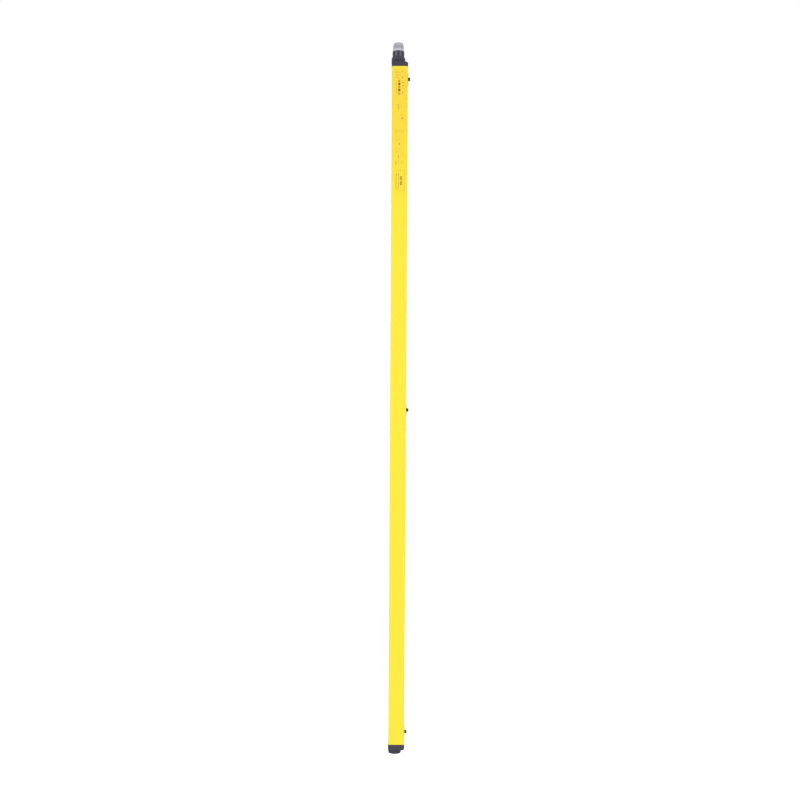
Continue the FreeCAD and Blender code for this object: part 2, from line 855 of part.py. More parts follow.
def display_bezel():
    """The frame that holds the display and the light guide behind the window."""
    body = new_body("display_bezel", z="bar_length / 2")
    flange = new_sketch(body, "XY_Plane", "-lead_zone")
    rectangle(flange, "-(card_half)", "card_half", "flange_front", "flange_back")
    pad(body, flange, "bezel_height", backwards=True)
    box = new_sketch(body, "XY_Plane", "-lead_zone")
    rectangle(box, "-bezel_width / 2", "bezel_width / 2", "bezel_front", "flange_back")
    pad(body, box, "bezel_height", backwards=True)
    holes = new_sketch(body, "XZ_Plane")
    play = "2 * pocket_play"
    block(holes, "-display_offset", display_middle(), f"display_width + {play}", f"display_height + {play}")
    block(holes, "guide_offset", display_middle(), f"guide_width + {play}", f"{guide_height()} + {play}")
    pocket(body, holes)


def status_display():
    """A single-digit display on a stem that stands on the control board."""
    body = new_body("status_display", z="bar_length / 2")
    face = new_sketch(body, "XZ_Plane", minus("bezel_front + cap_overhang"))
    block(face, "-display_offset", display_middle(), "display_width", "display_height")
    pad(body, face, "display_depth", backwards=True)
    stem = new_sketch(body, "XZ_Plane", minus("board_front - snug"))
    block(stem, "-display_offset", display_middle(), "display_stem", "display_stem")
    pad(body, stem, "board_front - snug - bezel_front - cap_overhang - display_depth")
    digit = new_sketch(body, "XZ_Plane", minus("bezel_front + cap_overhang"))
    step = "(segment_length + segment_width)"
    middle = display_middle()
    for rise in (-1, 0, 1):
        height = f"{middle} + {rise} * {step}"
        block(digit, "-display_offset", height, "segment_length - segment_width", "segment_width")
    for x in (-1, 1):
        for rise in (-1, 1):
            block(
                digit,
                f"-display_offset + {x} * {step} / 2",
                f"{middle} + {rise} * {step} / 2",
                "segment_width",
                "segment_length - segment_width",
            )
    pocket(body, digit, "segment_depth")


def light_guide():
    """Four clear rods on one web, from the board's lamps to the window."""
    body = new_body("light_guide", z="bar_length / 2")
    front = "bezel_front + cap_overhang"
    web = new_sketch(body, "XZ_Plane", minus(front))
    block(web, "guide_offset", display_middle(), "guide_width", guide_height())
    pad(body, web, "guide_web", backwards=True)
    rods = new_sketch(body, "XZ_Plane", minus(front))
    for rod in range(STATUS_LIGHTS):
        rise = f"{display_middle()} + {rod - (STATUS_LIGHTS - 1) / 2} * guide_pitch"
        block(rods, "guide_offset", rise, "guide_width", "guide_rod")
    pad(body, rods, f"board_front - snug - ({front})", backwards=True)


def plug_lead():
    """The flat lead from the contacts' tails to the socket on the control board."""
    body = new_body("plug_lead", z="bar_length / 2")
    tail = "flange_under - snug"
    half = "lead_thickness / 2"
    board_y = "board_front - socket_block_depth / 2"
    low = "-(lead_zone - socket_block_height) / 2 + snug"
    path = new_sketch(body, "YZ_Plane")
    polygon(
        path,
        [
            (f"{board_y} - {half}", low),
            (f"{board_y} + {half}", low),
            (f"{board_y} + {half}", f"{low} + lead_thickness"),
            (f"-boss_axis + {half}", f"{tail} - 2 * lead_thickness"),
            (f"-boss_axis + {half}", tail),
            (f"-boss_axis - {half}", tail),
            (f"-boss_axis - {half}", f"{tail} - 2 * lead_thickness - {half}"),
            (f"{board_y} - {half}", f"{low} + {half}"),
        ],
    )
    pad(body, path, "lead_width", midplane=True)


def earth_contact():
    """A bent spring from the control board round the rail to the housing's side wall."""
    body = new_body("earth_contact", z="bar_length / 2")
    foot_back, foot_front = "board_front - snug", "board_front - snug - spring_thickness"
    knee, wall = "rail_tip - 2 * spring_thickness", "inner_half - snug"
    sketch = new_sketch(body, "XY_Plane", "-(lead_zone + spring_width) / 2")
    bend = "front_rail_front - spring_thickness"
    points = [
        (f"{knee} - spring_foot", foot_back),
        (knee, foot_back),
        (knee, bend),
        (wall, f"{bend} - 2 * rail_height"),
        (wall, "port_front + port_radius + spring_play"),
        (f"{wall} - spring_thickness", "port_front + port_radius + spring_play"),
        (f"{wall} - spring_thickness", f"{bend} - 2 * rail_height - spring_thickness / 2"),
        (f"{knee} - spring_thickness", f"{bend} - spring_thickness / 2"),
        (f"{knee} - spring_thickness", foot_front),
        (f"{knee} - spring_foot", foot_front),
    ]
    polygon(sketch, [(minus(x), y) for x, y in points])
    pad(body, sketch, "spring_width")


# ---- slot nuts, plates and screws at the back ----------------------------------------------


def screw_heights():
    return ("screw_top", "-middle_screw_drop", "-(screw_top)")


def slot_nuts():
    body = new_body("slot_nuts", loose_solids=True)
    face = new_sketch(body, "XZ_Plane", minus("nut_front"))
    for height in screw_heights():
        block(face, "0", height, "nut_width", "nut_length")
        circle(face, "0", height, "screw_shank + 2 * snug")
    pad(body, face, "nut_thickness")


def clamp_plates():
    body = new_body("clamp_plates", loose_solids=True)
    face = new_sketch(body, "XZ_Plane")
    for height in screw_heights():
        block(face, "0", height, "plate_width", "plate_length")
        hexagon(face, "0", height, "screw_shank + 2 * screw_play")
    pad(body, face, "plate_thickness", backwards=True)


def slot_screws():
    """The socket-head screws that clamp the bar, cut to their core in plates and nuts."""
    body = new_body("slot_screws", loose_solids=True)
    heads = new_sketch(body, "XZ_Plane", "-plate_thickness")
    shanks = new_sketch(body, "XZ_Plane", "-plate_thickness")
    sockets = new_sketch(body, "XZ_Plane", "-(plate_thickness + screw_head_height)")
    for height in screw_heights():
        circle(heads, "0", height, "screw_head")
        hexagon(shanks, "0", height, "0.866 * screw_shank")
        hexagon(sockets, "0", height, "screw_socket")
    pad(body, heads, "screw_head_height", backwards=True)
    pad(body, shanks, "plate_thickness + slot_lip + screw_grip")
    pocket(body, sockets, "screw_socket_depth", backwards=True)


# ---- the whole bar ----------------------------------------------------------------------


def build():
    housing_profile()
    front_window()
    window_seal("window_seal_left", -1)
    window_seal("window_seal_right", 1)
    cap_gaskets()
    top_end_cap()
    bottom_end_cap()
    cap_screws()
    plug_shell()
    boss_seals()
    plug_insert()
    contact_pins()
    plug_lock_ring()
    dust_cap()
    blind_cover()
    beams_below = 0
    for number, beams in enumerate(BEAMS_PER_MODULE, start=1):
        foot = f"-bar_length / 2 + foot_gap + {beams_below} * beam_pitch"
        optics_module(number, beams, foot)
        beams_below += beams
        joint = f"-bar_length / 2 + foot_gap + {beams_below} * beam_pitch - module_gap / 2"
        board_bridge(number, joint)
    control_board()
    display_bezel()
    status_display()
    light_guide()
    plug_lead()
    earth_contact()
    slot_nuts()
    clamp_plates()
    slot_screws()


def export():
    """Write every piece to its own file, once the whole document is sound."""
    doc.recompute()
    for item in doc.Objects:
        if {"Invalid", "Error"} & set(item.State):
            raise RuntimeError(f"{item.Label} failed: {item.State}")
    for part in PARTS:
        shape = part.Shape
        if shape.isNull() or not shape.isValid() or shape.Volume <= 0:
            raise RuntimeError(f"{part.Label} has no sound shape")
    os.makedirs("parts", exist_ok=True)
    for part in PARTS:
        part.Shape.exportStep(f"parts/{part.Label}.step")


build()
export()
print(f"{len(PARTS)} pieces")
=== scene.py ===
"""Finishes, fine shapes, print and studio for a safety light curtain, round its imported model.

Every length is in metres, in the model's own frame: +Z runs up the bar towards the plug, the
optical window faces -Y, and the side that carries the print faces +X.
"""

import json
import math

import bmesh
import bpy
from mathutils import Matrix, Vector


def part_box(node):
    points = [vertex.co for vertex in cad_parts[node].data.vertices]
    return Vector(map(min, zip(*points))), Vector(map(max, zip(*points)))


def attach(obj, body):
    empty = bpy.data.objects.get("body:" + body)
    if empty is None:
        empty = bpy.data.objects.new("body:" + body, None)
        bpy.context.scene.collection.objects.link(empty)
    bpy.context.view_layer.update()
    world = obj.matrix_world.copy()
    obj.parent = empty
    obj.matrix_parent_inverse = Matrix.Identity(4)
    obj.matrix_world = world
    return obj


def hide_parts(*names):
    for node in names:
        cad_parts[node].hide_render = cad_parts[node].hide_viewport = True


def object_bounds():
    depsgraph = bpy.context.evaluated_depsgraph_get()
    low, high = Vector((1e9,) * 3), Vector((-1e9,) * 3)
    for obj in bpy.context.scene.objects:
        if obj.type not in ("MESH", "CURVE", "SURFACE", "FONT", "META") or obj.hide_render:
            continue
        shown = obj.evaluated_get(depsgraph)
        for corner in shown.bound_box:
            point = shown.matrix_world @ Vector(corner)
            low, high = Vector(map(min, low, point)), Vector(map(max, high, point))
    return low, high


bl_info = {
    "name": "Light curtain finisher",
    "version": (1, 0, 0),
    "blender": (4, 5, 0),
    "location": "View3D > Sidebar > Curtain",
    "description": "Dresses the model of a safety light curtain and lights it in a small studio",
    "category": "Object",
}

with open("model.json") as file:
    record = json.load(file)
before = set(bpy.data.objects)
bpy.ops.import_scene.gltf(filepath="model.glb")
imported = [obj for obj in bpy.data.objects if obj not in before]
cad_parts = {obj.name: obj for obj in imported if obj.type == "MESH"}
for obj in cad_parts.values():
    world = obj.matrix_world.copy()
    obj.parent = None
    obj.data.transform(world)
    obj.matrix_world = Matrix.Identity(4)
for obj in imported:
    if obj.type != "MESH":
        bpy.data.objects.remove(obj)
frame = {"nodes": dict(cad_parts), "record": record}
CAD_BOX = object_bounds()
MM = 0.001
BODY = "housing"


def box(node):
    """A node's lowest and highest corner."""
    low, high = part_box(node)
    return Vector(low), Vector(high)


def like(prefix):
    """The nodes whose names start with the same words, in order."""
    return sorted(node for node in frame["nodes"] if node.startswith(prefix))


HOUSING_LOW, HOUSING_HIGH = box("housing_profile")
PLUG_LOW, PLUG_HIGH = box("plug_shell")
RING_LOW, RING_HIGH = box("plug_lock_ring")
CAP_LOW, CAP_HIGH = box("dust_cap")
COVER_LOW, COVER_HIGH = box("blind_cover")
BOSS = Vector(((RING_LOW.x + RING_HIGH.x) / 2, (RING_LOW.y + RING_HIGH.y) / 2, 0))


def crest_of(node):
    """The farthest that a node reaches from the plug's axis."""
    spots = (vert.co - BOSS for vert in frame["nodes"][node].data.vertices)
    return max(spot.xy.length for spot in spots)


RING_CREST = crest_of("plug_lock_ring")
# A lens strip is a flat plate at the back, with its lenses on the plate's front.
LENS_PLATE = 2.0 * MM
LENS_FRONT = box("lens_strip_1")[1].y - LENS_PLATE


# ---- settings a user would change -----------------------------------------------------------


def length(name, description, metres):
    return bpy.props.FloatProperty(
        name=name, description=description, default=metres, min=0, unit="LENGTH", precision=5
    )


def number(name, description, count):
    return bpy.props.IntProperty(name=name, description=description, default=count, min=1)


def colour(name, description, red, green, blue):
    return bpy.props.FloatVectorProperty(
        name=name,
        description=description,
        default=(red, green, blue),
        min=0,
        max=1,
        subtype="COLOR",
    )


class CurtainColours(bpy.types.PropertyGroup):
    """Colours of the finishes, in linear light"""

    paint: colour("Paint", "Powder coat of the housing", 0.93, 0.767, 0.030)
    label: colour("Label", "Upper end of the printed foil", 0.93, 0.685, 0.036)
    label_foot: colour("Label foot", "Lower end of the printed foil", 0.93, 0.735, 0.034)
    ink: colour("Ink", "Dark print on the foil", 0.15, 0.080, 0.003)
    soft_ink: colour("Soft ink", "Smaller print, seen as a half tone", 0.50, 0.33, 0.020)
    faint_ink: colour("Faint ink", "Fine print, seen as a tint", 0.78, 0.52, 0.040)
    moulding: colour("Moulding", "Black plastic of the caps", 0.064, 0.059, 0.080)
    # Groove and Crest: the lock ring's plastic is painted darker between its grip ribs as painted
    # shade, and lighter on their crests as a painted highlight.
    groove_shade: colour("Groove", "Lock ring between its grip ribs", 0.050, 0.047, 0.063)
    crest: colour("Crest", "Rubbed crests of the grip ribs", 0.135, 0.130, 0.160)
    # Foot moulding: the caps' black plastic with a bluer tint, a painted reflection of the light
    # the blind cover catches.
    foot: colour("Foot moulding", "Plastic of the blind cover", 0.050, 0.060, 0.084)
    window: colour("Window", "Tinted plastic before the optics", 0.020, 0.010, 0.013)
    dust_cap: colour("Dust cap", "Grey plastic over the plug", 0.60, 0.59, 0.64)
    # Dust cap band: painted shade where the plug inside shows through the cap.
    plug_shade_band: colour("Dust cap band", "Where the plug's sleeve touches it", 0.39, 0.39, 0.43)
    zinc: colour("Zinc", "Plating of the nuts and cap screws", 0.56, 0.57, 0.60)
    black_zinc: colour("Black zinc", "Plating of the slot screws", 0.045, 0.040, 0.038)
    board: colour("Board", "Solder resist of the boards", 0.010, 0.085, 0.035)
    copper: colour("Copper", "Tinned pads on the boards", 0.62, 0.52, 0.36)
    gold: colour("Gold", "Plating of the contacts", 0.86, 0.62, 0.24)


class CurtainSizes(bpy.types.PropertyGroup):
    """Sizes of the shapes that the model leaves plain"""

    soft_edge: length("Soft edge", "Rounding of moulded and painted edges", 0.45 * MM)
    sharp_edge: length("Sharp edge", "Rounding of sheet and turned metal", 0.2 * MM)
    cap_wall: length("Cap wall", "Wall of the dust cap", 0.9 * MM)
    thread_pitch: length("Thread pitch", "Pitch of the plug's thread", 1.5 * MM)
    thread_depth: length("Thread depth", "Depth of the plug's thread", 0.55 * MM)
    ring_ribs: number("Ring ribs", "Grip ribs round the lock ring", 8)
    rib_depth: length("Rib depth", "Depth of the grooves between ribs", 1.0 * MM)
    contacts: number("Contacts", "Contacts in the plug", 12)
    contact_circle: length("Contact circle", "Circle that the contacts stand on", 13 * MM)
    knurls: number("Knurls", "Grip flutes round a slot screw's head", 30)
    socket: length("Socket", "Width across flats of a slot screw's socket", 4 * MM)
    lens_radius: length("Lens radius", "Radius of one lens", 5 * MM)
    lens_pitch: length("Lens pitch", "Distance from lens to lens", 30 * MM)
    foil: length("Foil", "Thickness of the label", 0.12 * MM)
    ink_layer: length("Ink layer", "Thickness of the print", 0.05 * MM)


class CurtainStudio(bpy.types.PropertyGroup):
    """The camera, the floor and the light"""

    camera_distance: length("Camera distance", "From the bar's middle to the camera", 2.7241)
    camera_rise: length("Camera height", "Of the camera over the bar's middle", 0.01345)
    camera_side: length("Camera side", "From the back face's plane towards the window", 0.0152)
    lens: bpy.props.FloatProperty(
        name="Lens", description="Focal length in millimetres", default=48.895
    )
    roll: bpy.props.FloatProperty(
        name="Roll", description="Lean of the camera", default=math.radians(0.325), subtype="ANGLE"
    )
    floor_drop: length("Floor", "Of the floor under the bar's foot", 0.43)
    daylight: bpy.props.FloatProperty(
        name="Daylight", description="Strength of the light from all round", default=0.62
    )
    lamp_power: bpy.props.FloatProperty(
        name="Lamps", description="Power of each tall lamp", default=26, unit="POWER"
    )


GROUPS = {
    "curtain_colours": CurtainColours,
    "curtain_sizes": CurtainSizes,
    "curtain_studio": CurtainStudio,
}


# ---- shader maths ---------------------------------------------------------------------------


class Signal:
    """A shader socket that takes part in plain arithmetic."""

    def __init__(self, nodes, socket):
        self.nodes = nodes
        self.socket = socket

    def maths(self, operation, first, second=0.0):
        """The result of one operation on two terms."""
        terms = {0: first, 1: second}
        return self.nodes.add("ShaderNodeMath", {"operation": operation}, terms)

    def __add__(self, other):
        return self.maths("ADD", self, other)

    __radd__ = __add__

    def __sub__(self, other):
        return self.maths("SUBTRACT", self, other)

    def __rsub__(self, other):
        return self.maths("SUBTRACT", other, self)

    def __mul__(self, other):
        return self.maths("MULTIPLY", self, other)

    __rmul__ = __mul__

    def __truediv__(self, other):
        return self.maths("DIVIDE", self, other)

    def __mod__(self, other):
        return self.maths("FLOORED_MODULO", self, other)

    def __gt__(self, other):
        return self.maths("GREATER_THAN", self, other)

    def __lt__(self, other):
        return self.maths("LESS_THAN", self, other)

    def __abs__(self):
        return self.maths("ABSOLUTE", self)


class Nodes:
    """The shader nodes of a material or a world."""

    def __init__(self, owner, output):
        owner.use_nodes = True
        self.tree = owner.node_tree
        self.tree.nodes.clear()
        self.output = self.tree.nodes.new(output)

    def join(self, target, source):
        """Sets a socket, from a signal, a number or a colour."""
        if isinstance(source, Signal):
            self.tree.links.new(source.socket, target)
            return
        if hasattr(source, "__len__") and len(source) == 3 and target.type == "RGBA":
            source = (*source, 1.0)
        target.default_value = source

    def add(self, kind, settings=None, sockets=None, output=0):
        """A node of a kind, with its settings made before its sockets are filled."""
        node = self.tree.nodes.new(kind)
        for name, setting in (settings or {}).items():
            setattr(node, name, setting)
        for name, source in (sockets or {}).items():
            self.join(node.inputs[name], source)
        return Signal(self, node.outputs[output])

    def show(self, source):
        """Sets what the material or the world shows."""
        self.join(self.output.inputs["Surface"], source)

    def seen(self):
        """1 for a ray of sight, be it straight, mirrored or through glass, or else 0."""
        camera, glossy, through = (
            self.add("ShaderNodeLightPath", output=f"Is {ray} Ray")
            for ray in ("Camera", "Glossy", "Transmission")
        )
        return camera + glossy + through


class Finish(Nodes):
    """A material of one Principled surface, with patterns laid out in the model's metres."""

    def __init__(self, name, **surface):
        self.material = bpy.data.materials.new(name)
        super().__init__(self.material, "ShaderNodeOutputMaterial")
        self.surface = self.tree.nodes.new("ShaderNodeBsdfPrincipled")
        self.show(Signal(self, self.surface.outputs[0]))
        for word, setting in surface.items():
            self.feed(word.replace("_", " ").title().replace("Ior", "IOR"), setting)

    def feed(self, socket, source):
        """Sets one input of the surface."""
        self.join(self.surface.inputs[socket], source)

    def place(self):
        """Where a point of the surface lies, in the model's frame."""
        return self.add("ShaderNodeTexCoord", output="Object")

    def from_axis(self):
        """How far a point lies from the plug's axis."""
        flat = self.add(
            "ShaderNodeVectorMath",
            {"operation": "MULTIPLY_ADD"},
            {0: self.place(), 1: (1, 1, 0), 2: -BOSS},
        )
        return self.add("ShaderNodeVectorMath", {"operation": "LENGTH"}, {0: flat}, "Value")

    def along(self, axis):
        """A point's coordinate on one axis."""
        return self.add("ShaderNodeSeparateXYZ", {}, {0: self.place()}, axis)

    def rise(self, start, end):
        """From 0 up to one height to 1 from another, with a smooth ramp between."""
        sockets = {"Value": self.along("Z"), "From Min": start, "From Max": end}
        return self.add("ShaderNodeMapRange", {"interpolation_type": "SMOOTHSTEP"}, sockets)

    def noise(self, per_metre, detail=2.0, stretch=(1, 1, 1)):
        """Soft noise from 0 to 1, with so many features to the metre."""
        scaled = self.add(
            "ShaderNodeVectorMath", {"operation": "MULTIPLY"}, {0: self.place(), 1: stretch}
        )
        sockets = {"Vector": scaled, "Scale": per_metre, "Detail": detail}
        return self.add("ShaderNodeTexNoise", {"noise_dimensions": "3D"}, sockets)

    def blend(self, amount, first, second):
        """A colour between two, by an amount from 0 to 1."""
        # The node numbers its sockets over all data types: colours go in at 6 and 7, out at 2.
        sockets = {0: amount, 6: first, 7: second}
        return self.add("ShaderNodeMix", {"data_type": "RGBA"}, sockets, 2)

    def shade(self, base, amount, strength):
        """A colour made a little lighter and darker by a signal round one half."""
        dark = tuple(channel * (1 - strength) for channel in base)
        light = tuple(min(1.0, channel * (1 + strength)) for channel in base)
        return self.blend(amount, dark, light)

    def bumps(self, height, depth, strength=1.0):
        """Relief on the surface, so deep, from a height between 0 and 1."""
        sockets = {"Strength": strength, "Distance": depth, "Height": height}
        self.feed("Normal", self.add("ShaderNodeBump", {}, sockets))


def colours():
    return bpy.context.scene.curtain_colours


def sizes():
    return bpy.context.scene.curtain_sizes


def studio():
    return bpy.context.scene.curtain_studio


# ---- finishes -------------------------------------------------------------------------------


def powder_coat(name, base):
    """Smooth satin powder coat with a fine orange peel."""
    coat = Finish(name, coat_weight=0.12, coat_roughness=0.22, specular_ior_level=0.4)
    cloud = coat.noise(5, 2, (1, 1, 0.3))
    coat.feed("Base Color", coat.shade(tuple(base), cloud, 0.025))
    coat.feed("Roughness", 0.36 + 0.10 * coat.noise(60))
    coat.bumps(coat.noise(900, 1), 0.03 * MM, 0.35)
    return coat.material


def moulding(name, base, grain=1600, roughness=0.56):
    """Glass-filled plastic from a spark-eroded tool: even grain, faint flow marks, and a painted
    highlight that lightens the boss under the lock ring."""
    plastic = Finish(name, specular_ior_level=0.1)
    flow = plastic.noise(35, 3, (1, 1, 0.35))
    # Painted highlight: the boss just under the lock ring is made lighter to stand in for the
    # light it catches.
    boss_foot, boss_top = RING_LOW.z - 9 * MM, RING_LOW.z - 1 * MM
    lit_boss = plastic.rise(boss_foot, boss_top)
    plain = plastic.shade(tuple(base), flow, 0.12)
    light = tuple(1.35 * channel for channel in base)
    plastic.feed("Base Color", plastic.blend(lit_boss, plain, light))
    plastic.feed("Roughness", roughness + 0.14 * (plastic.noise(300) - 0.5))
    plastic.bumps(plastic.noise(grain, 2), 0.04 * MM, 0.5)
    return plastic.material


def ribbed_grip(name, base, crest):
    """The lock ring's plastic, painted darker between its ribs as painted shade, with a painted
    highlight on their crests.
    """
    plastic = Finish(name, specular_ior_level=0.1)
    flow = plastic.noise(300, 2, (1, 1, 0.2))
    # Painted highlight: within this band of the ribs' crests the colour turns to the crest colour,
    # where the lamps catch them.
    highlight_band = 0.4 * MM
    crest_highlight = plastic.from_axis() + highlight_band * flow > RING_CREST - highlight_band
    plastic.feed("Base Color", plastic.blend(crest_highlight, tuple(base), tuple(crest)))
    plastic.feed("Roughness", 0.58 - 0.12 * crest_highlight)
    plastic.bumps(plastic.noise(1600, 2), 0.04 * MM, 0.5)
    return plastic.material


def tinted_window(name, base):
    """Deep red-black acrylic that just lets the lenses show."""
    acrylic = Finish(name, coat_weight=0.1, coat_roughness=0.04, alpha=0.6, specular_ior_level=0.2)
    acrylic.feed("Base Color", acrylic.shade(tuple(base), acrylic.noise(8), 0.1))
    acrylic.feed("Roughness", 0.10 + 0.05 * acrylic.noise(40))
    acrylic.bumps(acrylic.noise(6, 1, (1, 1, 0.2)), 0.05 * MM, 0.3)
    return acrylic.material


def clear_plastic(name):
    """Clear moulded plastic, pale and polished."""
    plastic = Finish(name, coat_weight=0.6, coat_roughness=0.03, specular_ior_level=0.6)
    tint = plastic.noise(80)
    plastic.feed("Base Color", plastic.blend(tint, (0.46, 0.48, 0.52), (0.60, 0.62, 0.66)))
    plastic.feed("Roughness", 0.08 + 0.06 * tint)
    return plastic.material


def lens_plastic(name, plate):
    """Frosted plate with polished lenses, which look dark because the cells behind them are."""
    plastic = Finish(name, coat_weight=0.3, coat_roughness=0.03)
    dome = plastic.along("Y") < plate - 0.02 * MM
    frost = plastic.shade((0.74, 0.75, 0.78), plastic.noise(120), 0.08)
    plastic.feed("Base Color", plastic.blend(dome, frost, (0.050, 0.014, 0.020)))
    plastic.feed("Roughness", 0.5 - 0.42 * dome)
    return plastic.material


def grey_cap(name, base, band):
    """Soft grey polythene: a blotchy band of painted shade where the plug inside shows through,
    and a crown painted a little darker than the skirt as shade against the light from above."""
    soft = Finish(name, alpha=0.94, specular_ior_level=0.3)
    cloud = soft.noise(160, 3, (1, 1, 0.4))
    foot = CAP_LOW.z
    # Painted shade: the band where the plug inside shows through, blotched by the cloud.
    on = soft.rise(foot + 5 * MM, foot + 8 * MM)
    off = soft.rise(foot + 12.5 * MM, foot + 15.5 * MM)
    see_through_shade = on * (1.0 - off) * (0.65 + 0.7 * cloud)
    # Painted shade: the crown is darker than the skirt, against the light from above that
    # brightens its taper.
    crown = tuple(0.84 * channel for channel in base)
    grey_ground = soft.blend(off, soft.shade(tuple(base), cloud, 0.08), soft.shade(crown, cloud, 0.08))
    soft.feed("Base Color", soft.blend(see_through_shade, grey_ground, tuple(band)))
    soft.feed("Roughness", 0.42 + 0.12 * soft.noise(400))
    soft.bumps(cloud, 0.08 * MM, 0.4)
    return soft.material


def rubber(name):
    """Matt black rubber with a fine dusting."""
    seal = Finish(name, specular_ior_level=0.25)
    dust = seal.noise(500, 3)
    seal.feed("Base Color", seal.blend(dust, (0.012, 0.012, 0.013), (0.030, 0.029, 0.030)))
    seal.feed("Roughness", 0.72 + 0.16 * dust)
    seal.bumps(dust, 0.03 * MM, 0.5)
    return seal.material


def plated_steel(name, base, roughness=0.32):
    """Electroplated steel: bright, with a fine cloudy grain."""
    steel = Finish(name, metallic=1.0)
    grain = steel.noise(700, 3)
    steel.feed("Base Color", steel.shade(tuple(base), grain, 0.14))
    steel.feed("Roughness", roughness + 0.16 * (steel.noise(1400) - 0.5))
    steel.bumps(grain, 0.01 * MM, 0.4)
    return steel.material


def circuit_board(name):
    """Green solder resist with rows of tinned pads and thin tracks under it."""
    board = Finish(name, coat_weight=0.3, coat_roughness=0.2)
    across, up = board.along("X"), board.along("Z")
    track_pitch, track_width, track_lean = 2.6 * MM, 0.5 * MM, 0.6
    tracks = (up + track_lean * across) % track_pitch < track_width
    green = tuple(colours().board)
    resist = board.blend(tracks, green, tuple(1.9 * channel for channel in green))
    row_pitch, file_pitch = 5 * MM, 4 * MM
    pad_height, pad_width = 1.2 * MM, 1.4 * MM
    in_row = abs(up % row_pitch - row_pitch / 2) < pad_height / 2
    in_file = abs(across % file_pitch - file_pitch / 2) < pad_width / 2
    pads = in_row * in_file
    board.feed("Base Color", board.blend(pads, resist, tuple(colours().copper)))
    board.feed("Metallic", 0.8 * pads)
    board.feed("Roughness", 0.42 - 0.12 * pads)
    board.bumps(tracks, 0.02 * MM, 0.6)
    return board.material


def ink(name, base):
    """Printing ink, a little uneven."""
    layer = Finish(name, specular_ior_level=0.3)
    spread = layer.noise(900, 2)
    layer.feed("Base Color", layer.shade(tuple(base), spread, 0.2))
    layer.feed("Roughness", 0.45 + 0.1 * spread)
    return layer.material


def label_ground(name, base, foot):
    """Satin polyester foil in about the housing's colour, warmer towards the plug."""
    foil = Finish(name, coat_weight=0.12, coat_roughness=0.3, specular_ior_level=0.4)
    fade_foot, fade_top = HOUSING_HIGH.z - 0.30, HOUSING_HIGH.z - 0.12
    warmth = foil.rise(fade_foot, fade_top) + 0.3 * (foil.noise(18) - 0.5)
    foil.feed("Base Color", foil.blend(warmth, tuple(foot), tuple(base)))
    foil.feed("Roughness", 0.34 + 0.06 * foil.noise(200))
    foil.bumps(foil.noise(1500, 1), 0.01 * MM, 0.3)
    return foil.material


def flat_lead(name):
    """A ribbon of grey cores side by side, each painted lighter along its middle and darker
    towards its neighbours, as painted shade between the rounded cores.
    """
    lead = Finish(name, specular_ior_level=0.4)
    core_pitch = 1.27 * MM
    core = abs(lead.along("X") / core_pitch % 1.0 - 0.5)
    # Painted shade: darker where the cores meet, lighter along each core's middle.
    lead.feed("Base Color", lead.blend(core, (0.50, 0.51, 0.53), (0.28, 0.29, 0.31)))
    lead.feed("Roughness", 0.5 + 0.1 * lead.noise(300))
    lead.bumps(1.0 - core, 0.3 * MM, 0.8)
    return lead.material


def display_face(name):
    """The display's dark grey face, finely mottled."""
    face = Finish(name, coat_weight=0.4, coat_roughness=0.1)
    mottle = face.noise(700, 2)
    face.feed("Base Color", face.blend(mottle, (0.045, 0.045, 0.050), (0.070, 0.070, 0.078)))
    face.feed("Roughness", 0.30 + 0.1 * mottle)
    return face.material


FINISHES = {}


def finish(slot):
    """The material of one of the record's slots or of the scene's own looks, made once."""
    if slot not in FINISHES:
        FINISHES[slot] = make_finish(slot)
    return FINISHES[slot]


def make_finish(slot):
    """A new material, for one of the record's slots or for a look that only the scene has."""
    shades = colours()
    makers = {
        "yellow_paint": lambda: powder_coat("yellow_powder_coat", shades.paint),
        "dark_window": lambda: tinted_window("tinted_acrylic", shades.window),
        "black_plastic": lambda: moulding("black_moulding", shades.moulding),
        # The blind cover's bluer plastic is the caps' black moulding with a painted reflection of
        # the light.
        "foot_plastic": lambda: moulding("foot_moulding", shades.foot),
        "grip_plastic": lambda: ribbed_grip("grip_moulding", shades.groove_shade, shades.crest),
        "grey_plastic": lambda: grey_cap("grey_polythene", shades.dust_cap, shades.plug_shade_band),
        "insulator": lambda: moulding("contact_insulator", (0.03, 0.03, 0.034), 2400, 0.4),
        "black_rubber": lambda: rubber("seal_rubber"),
        "zinc_steel": lambda: plated_steel("zinc_plated_steel", shades.zinc),
        "black_zinc": lambda: plated_steel("black_zinc_steel", shades.black_zinc, 0.42),
        "dark_steel": lambda: plated_steel("dark_sheet_steel", (0.10, 0.095, 0.09), 0.45),
        "gold_contacts": lambda: plated_steel("gold_plate", shades.gold, 0.22),
        "spring_bronze": lambda: plated_steel("spring_bronze", (0.62, 0.40, 0.20), 0.28),
        "green_board": lambda: circuit_board("solder_resist"),
        "connector_plastic": lambda: moulding("cream_connector", (0.60, 0.57, 0.48), 900, 0.45),
        "clear_plastic": lambda: clear_plastic("clear_moulding"),
        "lenses": lambda: lens_plastic("lens_moulding", LENS_FRONT),
        "display_block": lambda: display_face("display_face"),
        "ribbon": lambda: flat_lead("flat_lead"),
        "label": lambda: label_ground("label_foil", shades.label, shades.label_foot),
        "ink": lambda: ink("dark_ink", shades.ink),
        "soft_ink": lambda: ink("soft_ink", shades.soft_ink),
        "faint_ink": lambda: ink("fine_print_ink", shades.faint_ink),
    }
    return makers[slot]()


def record_slot(node):
    """The material slot that the record gives a node."""
    parts = frame["record"]["subparts"]
    return next(part["material_slot"] for part in parts if part["node"] == node)


def coat(node):
    """Gives a node of the model its finish."""
    material = finish(record_slot(node))
    for holder in frame["nodes"][node].material_slots:
        holder.material = material


# ---- mesh building --------------------------------------------------------------------------


